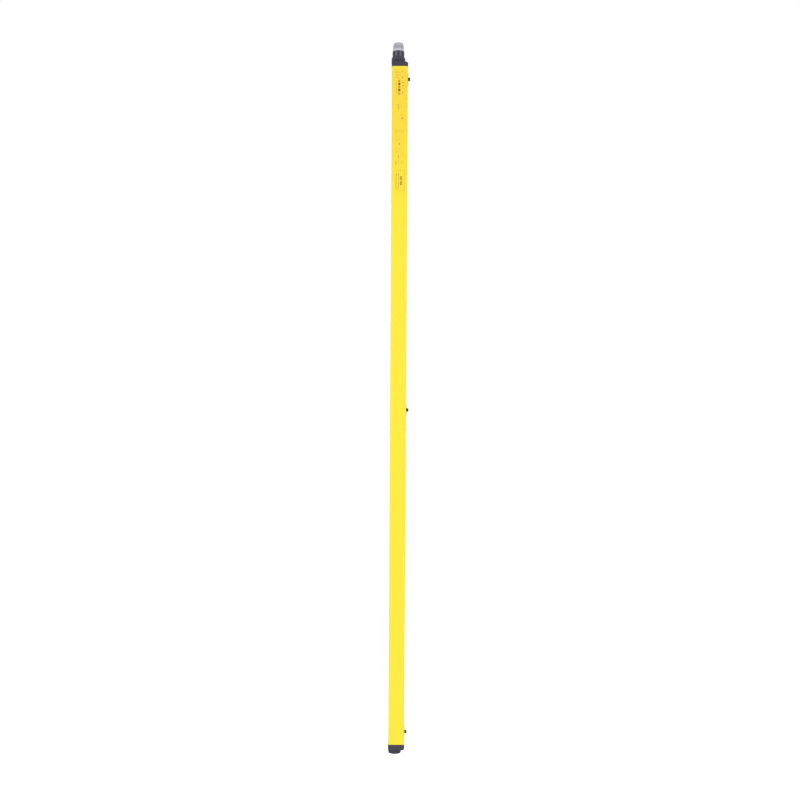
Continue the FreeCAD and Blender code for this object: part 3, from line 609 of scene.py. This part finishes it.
def to_piece(shape, name, slot, node=None, body=BODY, looks=None, crease=32):
    """Makes an object of a bmesh, shades it, and hangs it on its body."""
    bmesh.ops.recalc_face_normals(shape, faces=shape.faces)
    for face in shape.faces:
        face.smooth = True
    mesh = bpy.data.meshes.new(name)
    shape.to_mesh(mesh)
    shape.free()
    mesh.set_sharp_from_angle(angle=math.radians(crease))
    mesh.materials.append(finish(looks or slot))
    piece = bpy.data.objects.new(name, mesh)
    bpy.context.scene.collection.objects.link(piece)
    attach(piece, body)
    if node:
        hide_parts(*([node] if isinstance(node, str) else node))


def sweep_round(shape, levels, sides, place):
    """Rings of points round +Z, one a level, joined by faces and closed at both ends.

    A level is (reach, height); a reach is a number or a function of the angle. Where the
    first and last level are the same, the sweep closes on itself and needs no ends.
    """
    looped = levels[0] == levels[-1]
    rings = []
    for reach, height in levels[:-1] if looped else levels:
        ring = []
        for side in range(sides):
            angle = 2 * math.pi * side / sides
            out = reach(angle) if callable(reach) else reach
            spot = Vector((out * math.cos(angle), out * math.sin(angle), height))
            ring.append(shape.verts.new(place @ spot))
        rings.append(ring)
    pairs = list(zip(rings, rings[1:])) + ([(rings[-1], rings[0])] if looped else [])
    for low, high in pairs:
        for side in range(sides):
            after = (side + 1) % sides
            shape.faces.new((low[side], low[after], high[after], high[side]))
    if not looped:
        shape.faces.new(rings[0])
        shape.faces.new(rings[-1])


def eased(corners):
    """A profile with rounded corners. A corner is (reach, height, radius)."""
    steps = 4
    profile = []
    for index, (reach, height, radius) in enumerate(corners):
        here = Vector((reach, height))
        if not radius or index in (0, len(corners) - 1):
            profile.append((reach, height))
            continue
        before = Vector(corners[index - 1][:2]) - here
        after = Vector(corners[index + 1][:2]) - here
        cut = min(radius, before.length * 0.49, after.length * 0.49)
        start, end = here + before.normalized() * cut, here + after.normalized() * cut
        for step in range(steps + 1):
            t = step / steps
            spot = start * (1 - t) ** 2 + here * 2 * t * (1 - t) + end * t**2
            profile.append((spot.x, spot.y))
    return profile


def standing(x, y, z, flipped=False):
    """A place whose +Z points up the bar, or down it."""
    turn = Matrix.Rotation(math.pi, 4, "X") if flipped else Matrix.Identity(4)
    return Matrix.Translation((x, y, z)) @ turn


def facing(x, y, z, direction):
    """A place whose +Z points along -Y for the front, or +Y for the back."""
    turn = Matrix.Rotation(math.radians(90 if direction == "front" else -90), 4, "X")
    return Matrix.Translation((x, y, z)) @ turn


def slab(shape, low, high, edge):
    """A closed block with rounded edges."""
    low, high = Vector(low), Vector(high)
    size = high - low
    corners = bmesh.ops.create_cube(shape, size=1.0)["verts"]
    bmesh.ops.scale(shape, vec=size, verts=corners)
    bmesh.ops.translate(shape, vec=(low + high) / 2, verts=corners)
    edges = list(dict.fromkeys(line for vert in corners for line in vert.link_edges))
    offset = min(edge, min(size) * 0.45)
    bmesh.ops.bevel(shape, geom=edges, offset=offset, segments=2, affect="EDGES")


def welded(node):
    """A copy of a node's mesh, with the vertices joined that lie on one spot."""
    shape = bmesh.new()
    shape.from_mesh(frame["nodes"][node].data)
    bmesh.ops.remove_doubles(shape, verts=shape.verts, dist=0.001 * MM)
    return shape


def hexagon(across_flats):
    """The reach of a hexagon at an angle."""

    def reach(angle):
        sixth = math.pi / 3
        return across_flats / 2 / math.cos((angle % sixth) - sixth / 2)

    return reach


def softened(node, edge):
    """The node's own shape with its hard edges rounded, in place of the node."""
    shape = welded(node)
    bmesh.ops.dissolve_limit(
        shape, angle_limit=math.radians(0.5), verts=shape.verts, edges=shape.edges
    )
    hard = [
        line
        for line in shape.edges
        if len(line.link_faces) == 2 and line.calc_face_angle(0) > math.radians(30)
    ]
    bmesh.ops.bevel(
        shape,
        geom=hard,
        offset=edge,
        segments=2,
        profile=0.6,
        affect="EDGES",
        clamp_overlap=True,
    )
    to_piece(shape, f"{node}_shape", record_slot(node), node)


# ---- housing, window and caps ---------------------------------------------------------------


def dress_housing():
    """Finishes the extrusion, the window and the window's seals."""
    for node in ("housing_profile", "front_window", *like("window_seal")):
        coat(node)


def dress_caps():
    """Rounds the edges of both end caps and finishes their seals."""
    for node in ("top_end_cap", "bottom_end_cap"):
        softened(node, sizes().soft_edge)
    for node in ("cap_gaskets", "boss_seals"):
        coat(node)


def build_cap_screws():
    """Hexagon washer heads with a dished top, where the model has its plain screws."""
    shape = bmesh.new()
    head = 2.0 * MM
    shank, washer, dish = 1.25 * MM, 2.9 * MM, 1.6 * MM
    flats, top_flats = hexagon(4.7 * MM), hexagon(4.1 * MM)
    levels = [
        (shank, -14 * MM),
        (shank, 0),
        (washer, 0),
        (washer, 0.35 * MM),
        (flats, 0.5 * MM),
        (flats, head - 0.3 * MM),
        (top_flats, head),
        (dish, head),
        (dish - 0.3 * MM, head - 0.6 * MM),
    ]
    for low, high in clusters("cap_screws"):
        middle = (low + high) / 2
        upper = middle.z > 0
        seat = high.z - head if upper else low.z + head
        sweep_round(shape, levels, 36, standing(middle.x, middle.y, seat, not upper))
    to_piece(shape, "cap_screw_set", record_slot("cap_screws"), "cap_screws")


def clusters(node):
    """The boxes of the separate solids of one node."""
    shape = welded(node)
    waiting = set(shape.verts)
    boxes = []
    while waiting:
        front = [waiting.pop()]
        low, high = front[0].co.copy(), front[0].co.copy()
        while front:
            vert = front.pop()
            low = Vector(map(min, low, vert.co))
            high = Vector(map(max, high, vert.co))
            for line in vert.link_edges:
                other = line.other_vert(vert)
                if other in waiting:
                    waiting.discard(other)
                    front.append(other)
        boxes.append((low, high))
    shape.free()
    return sorted(boxes, key=lambda pair: (-pair[0].z, pair[0].x, pair[0].y))


# ---- plug and its covers --------------------------------------------------------------------


def build_plug():
    """The plug's shell: flange, threaded barrel and keyed sleeve."""
    shape = bmesh.new()
    place = standing(BOSS.x, BOSS.y, 0)
    foot, outer = PLUG_LOW.z, PLUG_HIGH.z
    rim, bore, crest = 10.2 * MM, 9.0 * MM, 12.95 * MM
    socket, key_width, key_depth = 9 * MM, 2.4 * MM, 0.8 * MM
    pitch, depth = sizes().thread_pitch, sizes().thread_depth
    thread_foot = RING_HIGH.z - 3 * pitch
    thread_top = RING_HIGH.z + 3.7 * MM

    def thread(height):
        def reach(angle):
            turn = (height / pitch - angle / (2 * math.pi)) % 1.0
            return crest - depth * (1 - abs(2 * turn - 1))

        return reach

    def keyed(angle):
        lean = angle - math.pi / 2
        in_key = abs(bore * math.sin(lean)) < key_width / 2 and lean < math.pi / 2
        return bore + key_depth if in_key else bore

    rows = 48
    run = thread_top - 0.4 * MM - thread_foot
    levels = [(bore, foot), (crest - depth, foot), (crest - depth, thread_foot)]
    for row in range(rows + 1):
        height = thread_foot + run * row / rows
        levels.append((thread(height), height))
    levels += [
        (crest - depth, thread_top),
        (rim, thread_top),
        (rim, outer - 0.4 * MM),
        (rim - 0.3 * MM, outer),
        (keyed, outer),
        (keyed, outer - socket),
        (bore, outer - socket - 0.2 * MM),
        (bore, foot),
    ]
    sweep_round(shape, levels, 96, place)
    side, flange = (PLUG_HIGH.x - PLUG_LOW.x) / 2, 2.5 * MM
    low = (-side, BOSS.y - side, foot)
    high = (side, BOSS.y + side, foot + flange)
    slab(shape, low, high, 0.4 * MM)
    to_piece(shape, "plug_barrel", record_slot("plug_shell"), "plug_shell")


def build_contacts():
    """Turned contact pins with rounded tips, on one circle."""
    shape = bmesh.new()
    low, high = box("contact_pins")
    count, ring = sizes().contacts, sizes().contact_circle / 2
    collar, collar_top, pin = 0.80 * MM, low.z + 1.2 * MM, 0.72 * MM
    corners = [
        (collar, low.z, 0),
        (collar, collar_top, 0),
        (pin, collar_top, 0),
        (pin, high.z, 0.6 * MM),
        (0.02 * MM, high.z, 0),
    ]
    for contact in range(count):
        angle = 2 * math.pi * (contact + 0.5) / count
        place = standing(BOSS.x + ring * math.cos(angle), BOSS.y + ring * math.sin(angle), 0)
        sweep_round(shape, eased(corners), 20, place)
    to_piece(shape, "contact_set", record_slot("contact_pins"), "contact_pins")
    coat("plug_insert")


def build_lock_ring():
    """The clamping nut of the plug: broad grip ribs, with a chamfer at each end."""
    shape = bmesh.new()
    place = standing(BOSS.x, BOSS.y, 0)
    ribs, depth = sizes().ring_ribs, sizes().rib_depth
    # Half the width of a rib's crest, and the width of its flank, as shares of the rib pitch.
    half_crest, flank = 0.23, 0.07

    def ribbed(inset):
        def reach(angle):
            turn = (angle / (2 * math.pi) * ribs) % 1.0
            across = abs(turn - 0.5)
            side = min(1.0, max(0.0, (across - half_crest) / flank))
            return RING_CREST - inset - depth * side

        return reach

    low, high = RING_LOW.z, RING_HIGH.z
    bore = 13.1 * MM
    levels = [
        (bore, low),
        (ribbed(0.5 * MM), low),
        (ribbed(0), low + 0.5 * MM),
        (ribbed(0), high - 0.9 * MM),
        (ribbed(0.3 * MM), high - 0.3 * MM),
        (ribbed(0.8 * MM), high),
        (bore, high),
        (bore, low),
    ]
    sweep_round(shape, levels, 192, place)
    slot = record_slot("plug_lock_ring")
    to_piece(shape, "lock_ring_shape", slot, "plug_lock_ring", looks="grip_plastic", crease=25)


def build_dust_cap():
    """The push-on cap: a rim, a skirt over the thread, then a taper to a rounded crown."""
    shape = bmesh.new()
    place = standing(BOSS.x, BOSS.y, CAP_LOW.z)
    tall = CAP_HIGH.z - CAP_LOW.z
    wall = sizes().cap_wall
    foot = (CAP_HIGH.x - CAP_LOW.x) / 2
    skirt, sleeve, tip = 13.25 * MM, 10.5 * MM, 0.05 * MM
    corners = [
        (skirt, 0, 0),
        (foot, 0, 0.15 * MM),
        (foot, 3.9 * MM, 0.5 * MM),
        (foot - 0.4 * MM, 5.2 * MM, 0.6 * MM),
        (13.4 * MM, 6.6 * MM, 0.8 * MM),
        (13.1 * MM, tall - 8.2 * MM, 2.0 * MM),
        (12.5 * MM, tall - 4.6 * MM, 2.0 * MM),
        (12.0 * MM, tall - 0.7 * MM, 0.6 * MM),
        (11.3 * MM, tall, 0.6 * MM),
        (tip, tall, 0),
    ]
    outside = eased(corners)
    inside = [
        (tip, tall - 2 * wall),
        (sleeve, tall - 2 * wall),
        (sleeve, 4.6 * MM),
        (skirt, 4.2 * MM),
        (skirt, 0),
    ]
    sweep_round(shape, outside + inside, 96, place)
    to_piece(shape, "dust_cap_shape", record_slot("dust_cap"), "dust_cap", "dust_cap")


def build_blind_cover():
    """The round cover of the cap without a plug, with a soft rim."""
    shape = bmesh.new()
    place = standing(BOSS.x, BOSS.y, 0, True)
    rim = (COVER_HIGH.x - COVER_LOW.x) / 2
    top, back = -COVER_LOW.z, -COVER_HIGH.z
    seat, spigot, tip = back + 8 * MM, 13 * MM, 0.05 * MM
    chamfer, lip, dish = 0.35 * MM, 3.0 * MM, 0.4 * MM
    corners = [
        (tip, back, 0),
        (spigot, back, 0.5 * MM),
        (spigot, seat, 0),
        (rim, seat, 0.25 * MM),
        (rim, top - chamfer, 0.2 * MM),
        (rim - chamfer, top, 0.2 * MM),
        (rim - lip, top, 0.2 * MM),
        (rim - lip - dish, top - dish, 0.2 * MM),
        (tip, top - dish, 0),
    ]
    sweep_round(shape, eased(corners), 96, place)
    to_piece(shape, "cover_shape", record_slot("blind_cover"), "blind_cover", looks="foot_plastic")


# ---- fixings at the back --------------------------------------------------------------------


def build_slot_screws():
    """Socket-head screws with a knurled grip, at the three clamp plates."""
    shape = bmesh.new()
    knurls, socket = sizes().knurls, sizes().socket
    tall, shank, flute = 5 * MM, 2.45 * MM, 0.12 * MM

    def knurled(radius):
        return lambda angle: radius - flute * (0.5 + 0.5 * math.cos(knurls * angle))

    for low, high in clusters("slot_screws"):
        head = (high.x - low.x) / 2
        seat = high.y - tall
        foot = low.y - seat
        place = facing((low.x + high.x) / 2, seat, (low.z + high.z) / 2, "back")
        levels = [
            (shank - 0.15 * MM, foot),
            (shank, foot + 0.4 * MM),
            (shank, 0),
            (head - 0.3 * MM, 0),
            (head, 0.3 * MM),
            (head, 0.7 * MM),
            (knurled(head), 0.9 * MM),
            (knurled(head), tall - 0.8 * MM),
            (head - 0.15 * MM, tall - 0.5 * MM),
            (head - 0.6 * MM, tall),
            (hexagon(socket + 0.5 * MM), tall),
            (hexagon(socket), tall - 0.3 * MM),
            (hexagon(socket), tall - 2.2 * MM),
            (0.3 * MM, tall - 2.7 * MM),
        ]
        sweep_round(shape, levels, 120, place)
    slot = record_slot("slot_screws")
    to_piece(shape, "slot_screw_set", slot, "slot_screws", looks="black_zinc", crease=28)


def build_clamps():
    """Rounds the edges of the clamp plates and of the nuts in the slot."""
    for node in ("clamp_plates", "slot_nuts"):
        softened(node, sizes().sharp_edge)


# ---- optics and electronics -----------------------------------------------------------------


def build_lenses():
    """Each strip with its row of round domes, in place of the model's plain strips."""
    radius, pitch = sizes().lens_radius, sizes().lens_pitch
    rise, steps = 1.3 * MM, 6
    sphere = (radius**2 + rise**2) / (2 * rise)
    dome = [(radius, -0.2 * MM), (radius, 0)]
    for step in range(1, steps):
        out = radius * math.cos(math.pi / 2 * step / steps)
        dome.append((out, math.sqrt(sphere**2 - out**2) - (sphere - rise)))
    dome.append((0.05 * MM, rise))
    for node in like("lens_strip"):
        low, high = box(node)
        shape = bmesh.new()
        slab(shape, (low.x, LENS_FRONT, low.z), high, 0.3 * MM)
        count = round((high.z - low.z) / pitch)
        for lens in range(count):
            height = (low.z + high.z) / 2 + (lens - (count - 1) / 2) * pitch
            place = facing((low.x + high.x) / 2, LENS_FRONT, height, "front")
            sweep_round(shape, dome, 32, place)
        to_piece(shape, f"{node}_domes", record_slot(node), node, looks="lenses")


def dress_electronics():
    """Finishes the trays, the boards, the display's pieces and the wiring."""
    rows = ("optics_carrier", "optic_board", "board_bridge")
    single = ("control_board", "display_bezel", "status_display", "light_guide")
    for prefix in rows + single + ("plug_lead", "earth_contact"):
        for node in like(prefix):
            coat(node)


# ---- print ----------------------------------------------------------------------------------

# The label's layout. Across is measured from the housing's front corner and down from its top
# end, in millimetres; each mark is (across, down, width, height).
LABEL = (1.5, 5.0, 36.0, 309.0)
PRINT = {
    "ink": [(15.9, down, 5.4, 5.2) for down in (42.0, 57.0)]
    + [(22.2, start + 2.6 * bar, 4.4, 1.7) for start in (274.4, 286.8) for bar in range(4)],
    "soft_ink": [(16.0, down, 5.2, 4.4) for down in (34.6, 50.3, 67.0)]
    + [(25.2, 25.9, 3.2, 3.8), (24.9, 127.8, 3.2, 4.6), (18.0, 191.3, 2.4, 4.6)]
    + [(16.8, 222.1, 1.7, 6.6), (17.3, 267.1, 1.2, 38.8), (11.2, 267.5, 2.4, 4.6)]
    + [(24.8, down, 6.0, 1.3) for down in (40.6, 48.2)]
    + [(26.2, 62.9, 1.4, 7.0), (16.6, 94.7, 1.4, 12.4)],
    "faint_ink": [(9.8, 15.1 + 6.6 * row, 10.4, 1.8) for row in range(3)]
    + [(16.2, 34.2, 4.6, 37.2), (24.2, 11.4, 3.0, 4.2), (28.2, 53.4, 2.4, 3.4)]
    + [(10.4, 39.2 + 5.0 * row, 2.6, 3.4) for row in range(6)]
    + [(11.0, 94.7, 1.6, 4.2), (24.2, 94.7, 1.6, 9.2), (25.4, 118.5, 1.4, 6.0)]
    + [(across, 157.3, 1.8, 10.0) for across in (8.8, 12.8, 17.6, 25.0)]
    + [(11.6, 174.1 + 4.4 * row, 1.6, 3.0) for row in range(3)]
    + [(11.6, 201.5 + 5.0 * row, 1.6, 3.6) for row in range(3)]
    + [(18.2, 176.1, 1.5, 9.6), (18.2, 203.9, 1.5, 7.4), (17.0, 233.5, 1.4, 10.6)]
    + [(25.6, 216.1, 1.4, 10.6), (25.4, 234.9, 2.0, 9.2)]
    + [(9.0, 237.3 + 2.9 * row, 5.2, 2.2) for row in range(3)]
    + [(9.3, 273.5 + 4.2 * row, 4.6, 3.0) for row in range(8)]
    + [(4.2, 259.5, 28.1, 0.9), (32.4, 259.5, 0.9, 50.0), (8.0, 309.1, 24.3, 0.9)],
}


def print_marks(name, marks, slot, looks, foot, thickness):
    """Thin raised patches on the printed side."""
    shape = bmesh.new()
    for across, down, width, height in marks:
        y, z = HOUSING_LOW.y + across * MM, HOUSING_HIGH.z - down * MM
        low = (foot, y, z - height * MM)
        high = (foot + thickness, y + width * MM, z)
        patch(shape, low, high)
    to_piece(shape, name, slot, looks=looks)


def patch(shape, low, high):
    """A thin plate with rounded corners, standing on the side of the housing."""
    width, height = high[1] - low[1], high[2] - low[2]
    radius = min(width, height) * 0.3
    steps = 3 + int(radius / MM)
    outline = []
    corners = ((1, 1), (-1, 1), (-1, -1), (1, -1))
    for turn, (side, rise) in enumerate(corners):
        y = (low[1] + high[1]) / 2 + side * (width / 2 - radius)
        z = (low[2] + high[2]) / 2 + rise * (height / 2 - radius)
        for step in range(steps + 1):
            angle = math.pi / 2 * (turn + step / steps)
            outline.append((y + radius * math.cos(angle), z + radius * math.sin(angle)))
    back = [shape.verts.new((low[0], y, z)) for y, z in outline]
    front = [shape.verts.new((high[0], y, z)) for y, z in outline]
    shape.faces.new(front)
    shape.faces.new(reversed(back))
    for index in range(len(outline)):
        after = (index + 1) % len(outline)
        shape.faces.new((back[index], back[after], front[after], front[index]))


def build_print():
    """The foil, and the print on it, which is thinner where it is faint."""
    side, foil, layer = HOUSING_HIGH.x, sizes().foil, sizes().ink_layer
    print_marks("label_foil", [LABEL], "yellow_paint", "label", side, foil)
    for looks, marks in PRINT.items():
        lift = layer * (0.4 if looks == "faint_ink" else 1)
        print_marks(f"label_{looks}", marks, "yellow_paint", looks, side + foil, lift)


# ---- studio ---------------------------------------------------------------------------------


def pale_stage(name, shade, boost):
    """Pale matt ground that shows as white where no shadow falls."""
    ground = Finish(name, base_color=shade, roughness=0.9, specular_ior_level=0.1)
    glow = ground.add("ShaderNodeEmission", {}, {"Color": (1, 1, 1), "Strength": boost})
    nothing = ground.add("ShaderNodeEmission", {}, {"Color": (0, 0, 0), "Strength": 0.0})
    lift = ground.add("ShaderNodeMixShader", {}, {0: ground.seen(), 1: nothing, 2: glow})
    matt = Signal(ground, ground.surface.outputs[0])
    ground.show(ground.add("ShaderNodeAddShader", {}, {0: matt, 1: lift}))
    return ground.material


def build_floor():
    """A wide round floor, well under the bar's foot."""
    mesh = bpy.data.meshes.new("studio_floor")
    shape = bmesh.new()
    bmesh.ops.create_circle(shape, cap_ends=True, segments=96, radius=9.0)
    shape.to_mesh(mesh)
    shape.free()
    mesh.materials.append(pale_stage("studio_floor_paint", (0.80, 0.80, 0.80), 0.62))
    floor = bpy.data.objects.new("studio_floor", mesh)
    floor.location.z = CAD_BOX[0].z - studio().floor_drop
    bpy.context.scene.collection.objects.link(floor)


def build_world():
    """White where it is seen or mirrored, and a softer daylight where it only lights."""
    world = bpy.data.worlds.new("studio_daylight")
    sky = Nodes(world, "ShaderNodeOutputWorld")
    daylight = {"Color": (0.98, 0.99, 1.0), "Strength": studio().daylight}
    lit = sky.add("ShaderNodeBackground", {}, daylight)
    white = sky.add("ShaderNodeBackground", {}, {"Color": (1, 1, 1), "Strength": 1.0})
    sky.show(sky.add("ShaderNodeMixShader", {}, {0: sky.seen(), 1: lit, 2: white}))
    bpy.context.scene.world = world


# Each lamp's bearing, in degrees from the window's side, and its share of the full power.
LAMPS = ((50, 1.0), (135, 0.75), (230, 0.5), (310, 0.7))
LAMP_DISTANCE = 2.6


def build_lamps():
    """Tall soft lamps round the bar, the brightest on the camera's side."""
    for index, (degrees, share) in enumerate(LAMPS):
        lamp = bpy.data.lights.new(f"tall_lamp_{index + 1}", "AREA")
        lamp.shape = "RECTANGLE"
        lamp.size = 0.9
        lamp.size_y = 2.4
        lamp.energy = studio().lamp_power * share
        thing = bpy.data.objects.new(lamp.name, lamp)
        angle = math.radians(degrees)
        spot = Vector((math.sin(angle), -math.cos(angle), 0)) * LAMP_DISTANCE
        thing.location = (spot.x, spot.y, 0.1)
        aim = Vector((0, -0.02, 0)) - thing.location
        thing.rotation_euler = aim.to_track_quat("-Z", "Y").to_euler()
        bpy.context.scene.collection.objects.link(thing)


def build_camera():
    """A camera level with the bar, looking at its printed side."""
    view = bpy.data.cameras.new("studio_camera")
    view.sensor_width = 36
    view.lens = studio().lens
    camera = bpy.data.objects.new("studio_camera", view)
    camera.location = (studio().camera_distance, -studio().camera_side, studio().camera_rise)
    look = Matrix.Rotation(math.radians(90), 4, "Z") @ Matrix.Rotation(math.radians(90), 4, "X")
    camera.matrix_world = (
        Matrix.Translation(camera.location) @ look @ Matrix.Rotation(studio().roll, 4, "Z")
    )
    bpy.context.scene.collection.objects.link(camera)
    bpy.context.scene.camera = camera
    bpy.context.scene.view_settings.view_transform = "Standard"


# ---- operators and panel --------------------------------------------------------------------


class CURTAIN_OT_stage(bpy.types.Operator):
    """Builds the floor, the daylight, the lamps and the camera"""

    bl_idname = "curtain.stage"
    bl_label = "Stage"

    def execute(self, context):
        build_floor()
        build_world()
        build_lamps()
        build_camera()
        return {"FINISHED"}


class CURTAIN_OT_housing(bpy.types.Operator):
    """Coats the housing and fits the finishes of the window and its seals"""

    bl_idname = "curtain.housing"
    bl_label = "Housing and window"

    def execute(self, context):
        dress_housing()
        return {"FINISHED"}


class CURTAIN_OT_caps(bpy.types.Operator):
    """Shapes the two end caps, the blind cover and the cap screws"""

    bl_idname = "curtain.caps"
    bl_label = "End caps"

    def execute(self, context):
        dress_caps()
        build_cap_screws()
        build_blind_cover()
        return {"FINISHED"}


class CURTAIN_OT_plug(bpy.types.Operator):
    """Shapes the machine plug, its contacts, its lock ring and its dust cap"""

    bl_idname = "curtain.plug"
    bl_label = "Plug"

    def execute(self, context):
        build_plug()
        build_contacts()
        build_lock_ring()
        build_dust_cap()
        return {"FINISHED"}


class CURTAIN_OT_fixings(bpy.types.Operator):
    """Shapes the screws, plates and nuts in the slot at the back"""

    bl_idname = "curtain.fixings"
    bl_label = "Slot fixings"

    def execute(self, context):
        build_slot_screws()
        build_clamps()
        return {"FINISHED"}


class CURTAIN_OT_optics(bpy.types.Operator):
    """Shapes the lenses and finishes the boards, the display and the wiring"""

    bl_idname = "curtain.optics"
    bl_label = "Optics and electronics"

    def execute(self, context):
        build_lenses()
        dress_electronics()
        return {"FINISHED"}


class CURTAIN_OT_print(bpy.types.Operator):
    """Lays the label and its abstract print on the side of the housing"""

    bl_idname = "curtain.print"
    bl_label = "Label"

    def execute(self, context):
        build_print()
        return {"FINISHED"}


STEPS = (
    CURTAIN_OT_stage,
    CURTAIN_OT_housing,
    CURTAIN_OT_caps,
    CURTAIN_OT_plug,
    CURTAIN_OT_fixings,
    CURTAIN_OT_optics,
    CURTAIN_OT_print,
)


class CURTAIN_PT_panel(bpy.types.Panel):
    """Lists the settings and the building steps"""

    bl_idname = "CURTAIN_PT_panel"
    bl_label = "Light curtain"
    bl_space_type = "VIEW_3D"
    bl_region_type = "UI"
    bl_category = "Curtain"

    def draw(self, context):
        for step in STEPS:
            self.layout.operator(step.bl_idname)
        for holder in GROUPS:
            settings = getattr(context.scene, holder)
            column = self.layout.column()
            for name in settings.__annotations__:
                column.prop(settings, name)


CLASSES = (*GROUPS.values(), *STEPS, CURTAIN_PT_panel)


def register():
    for kind in CLASSES:
        bpy.utils.register_class(kind)
    for holder, group in GROUPS.items():
        setattr(bpy.types.Scene, holder, bpy.props.PointerProperty(type=group))


def unregister():
    for holder in GROUPS:
        delattr(bpy.types.Scene, holder)
    for kind in reversed(CLASSES):
        bpy.utils.unregister_class(kind)


def main():
    register()
    for step in STEPS:
        group, call = step.bl_idname.split(".")
        getattr(getattr(bpy.ops, group), call)()


if __name__ == "__main__":
    main()
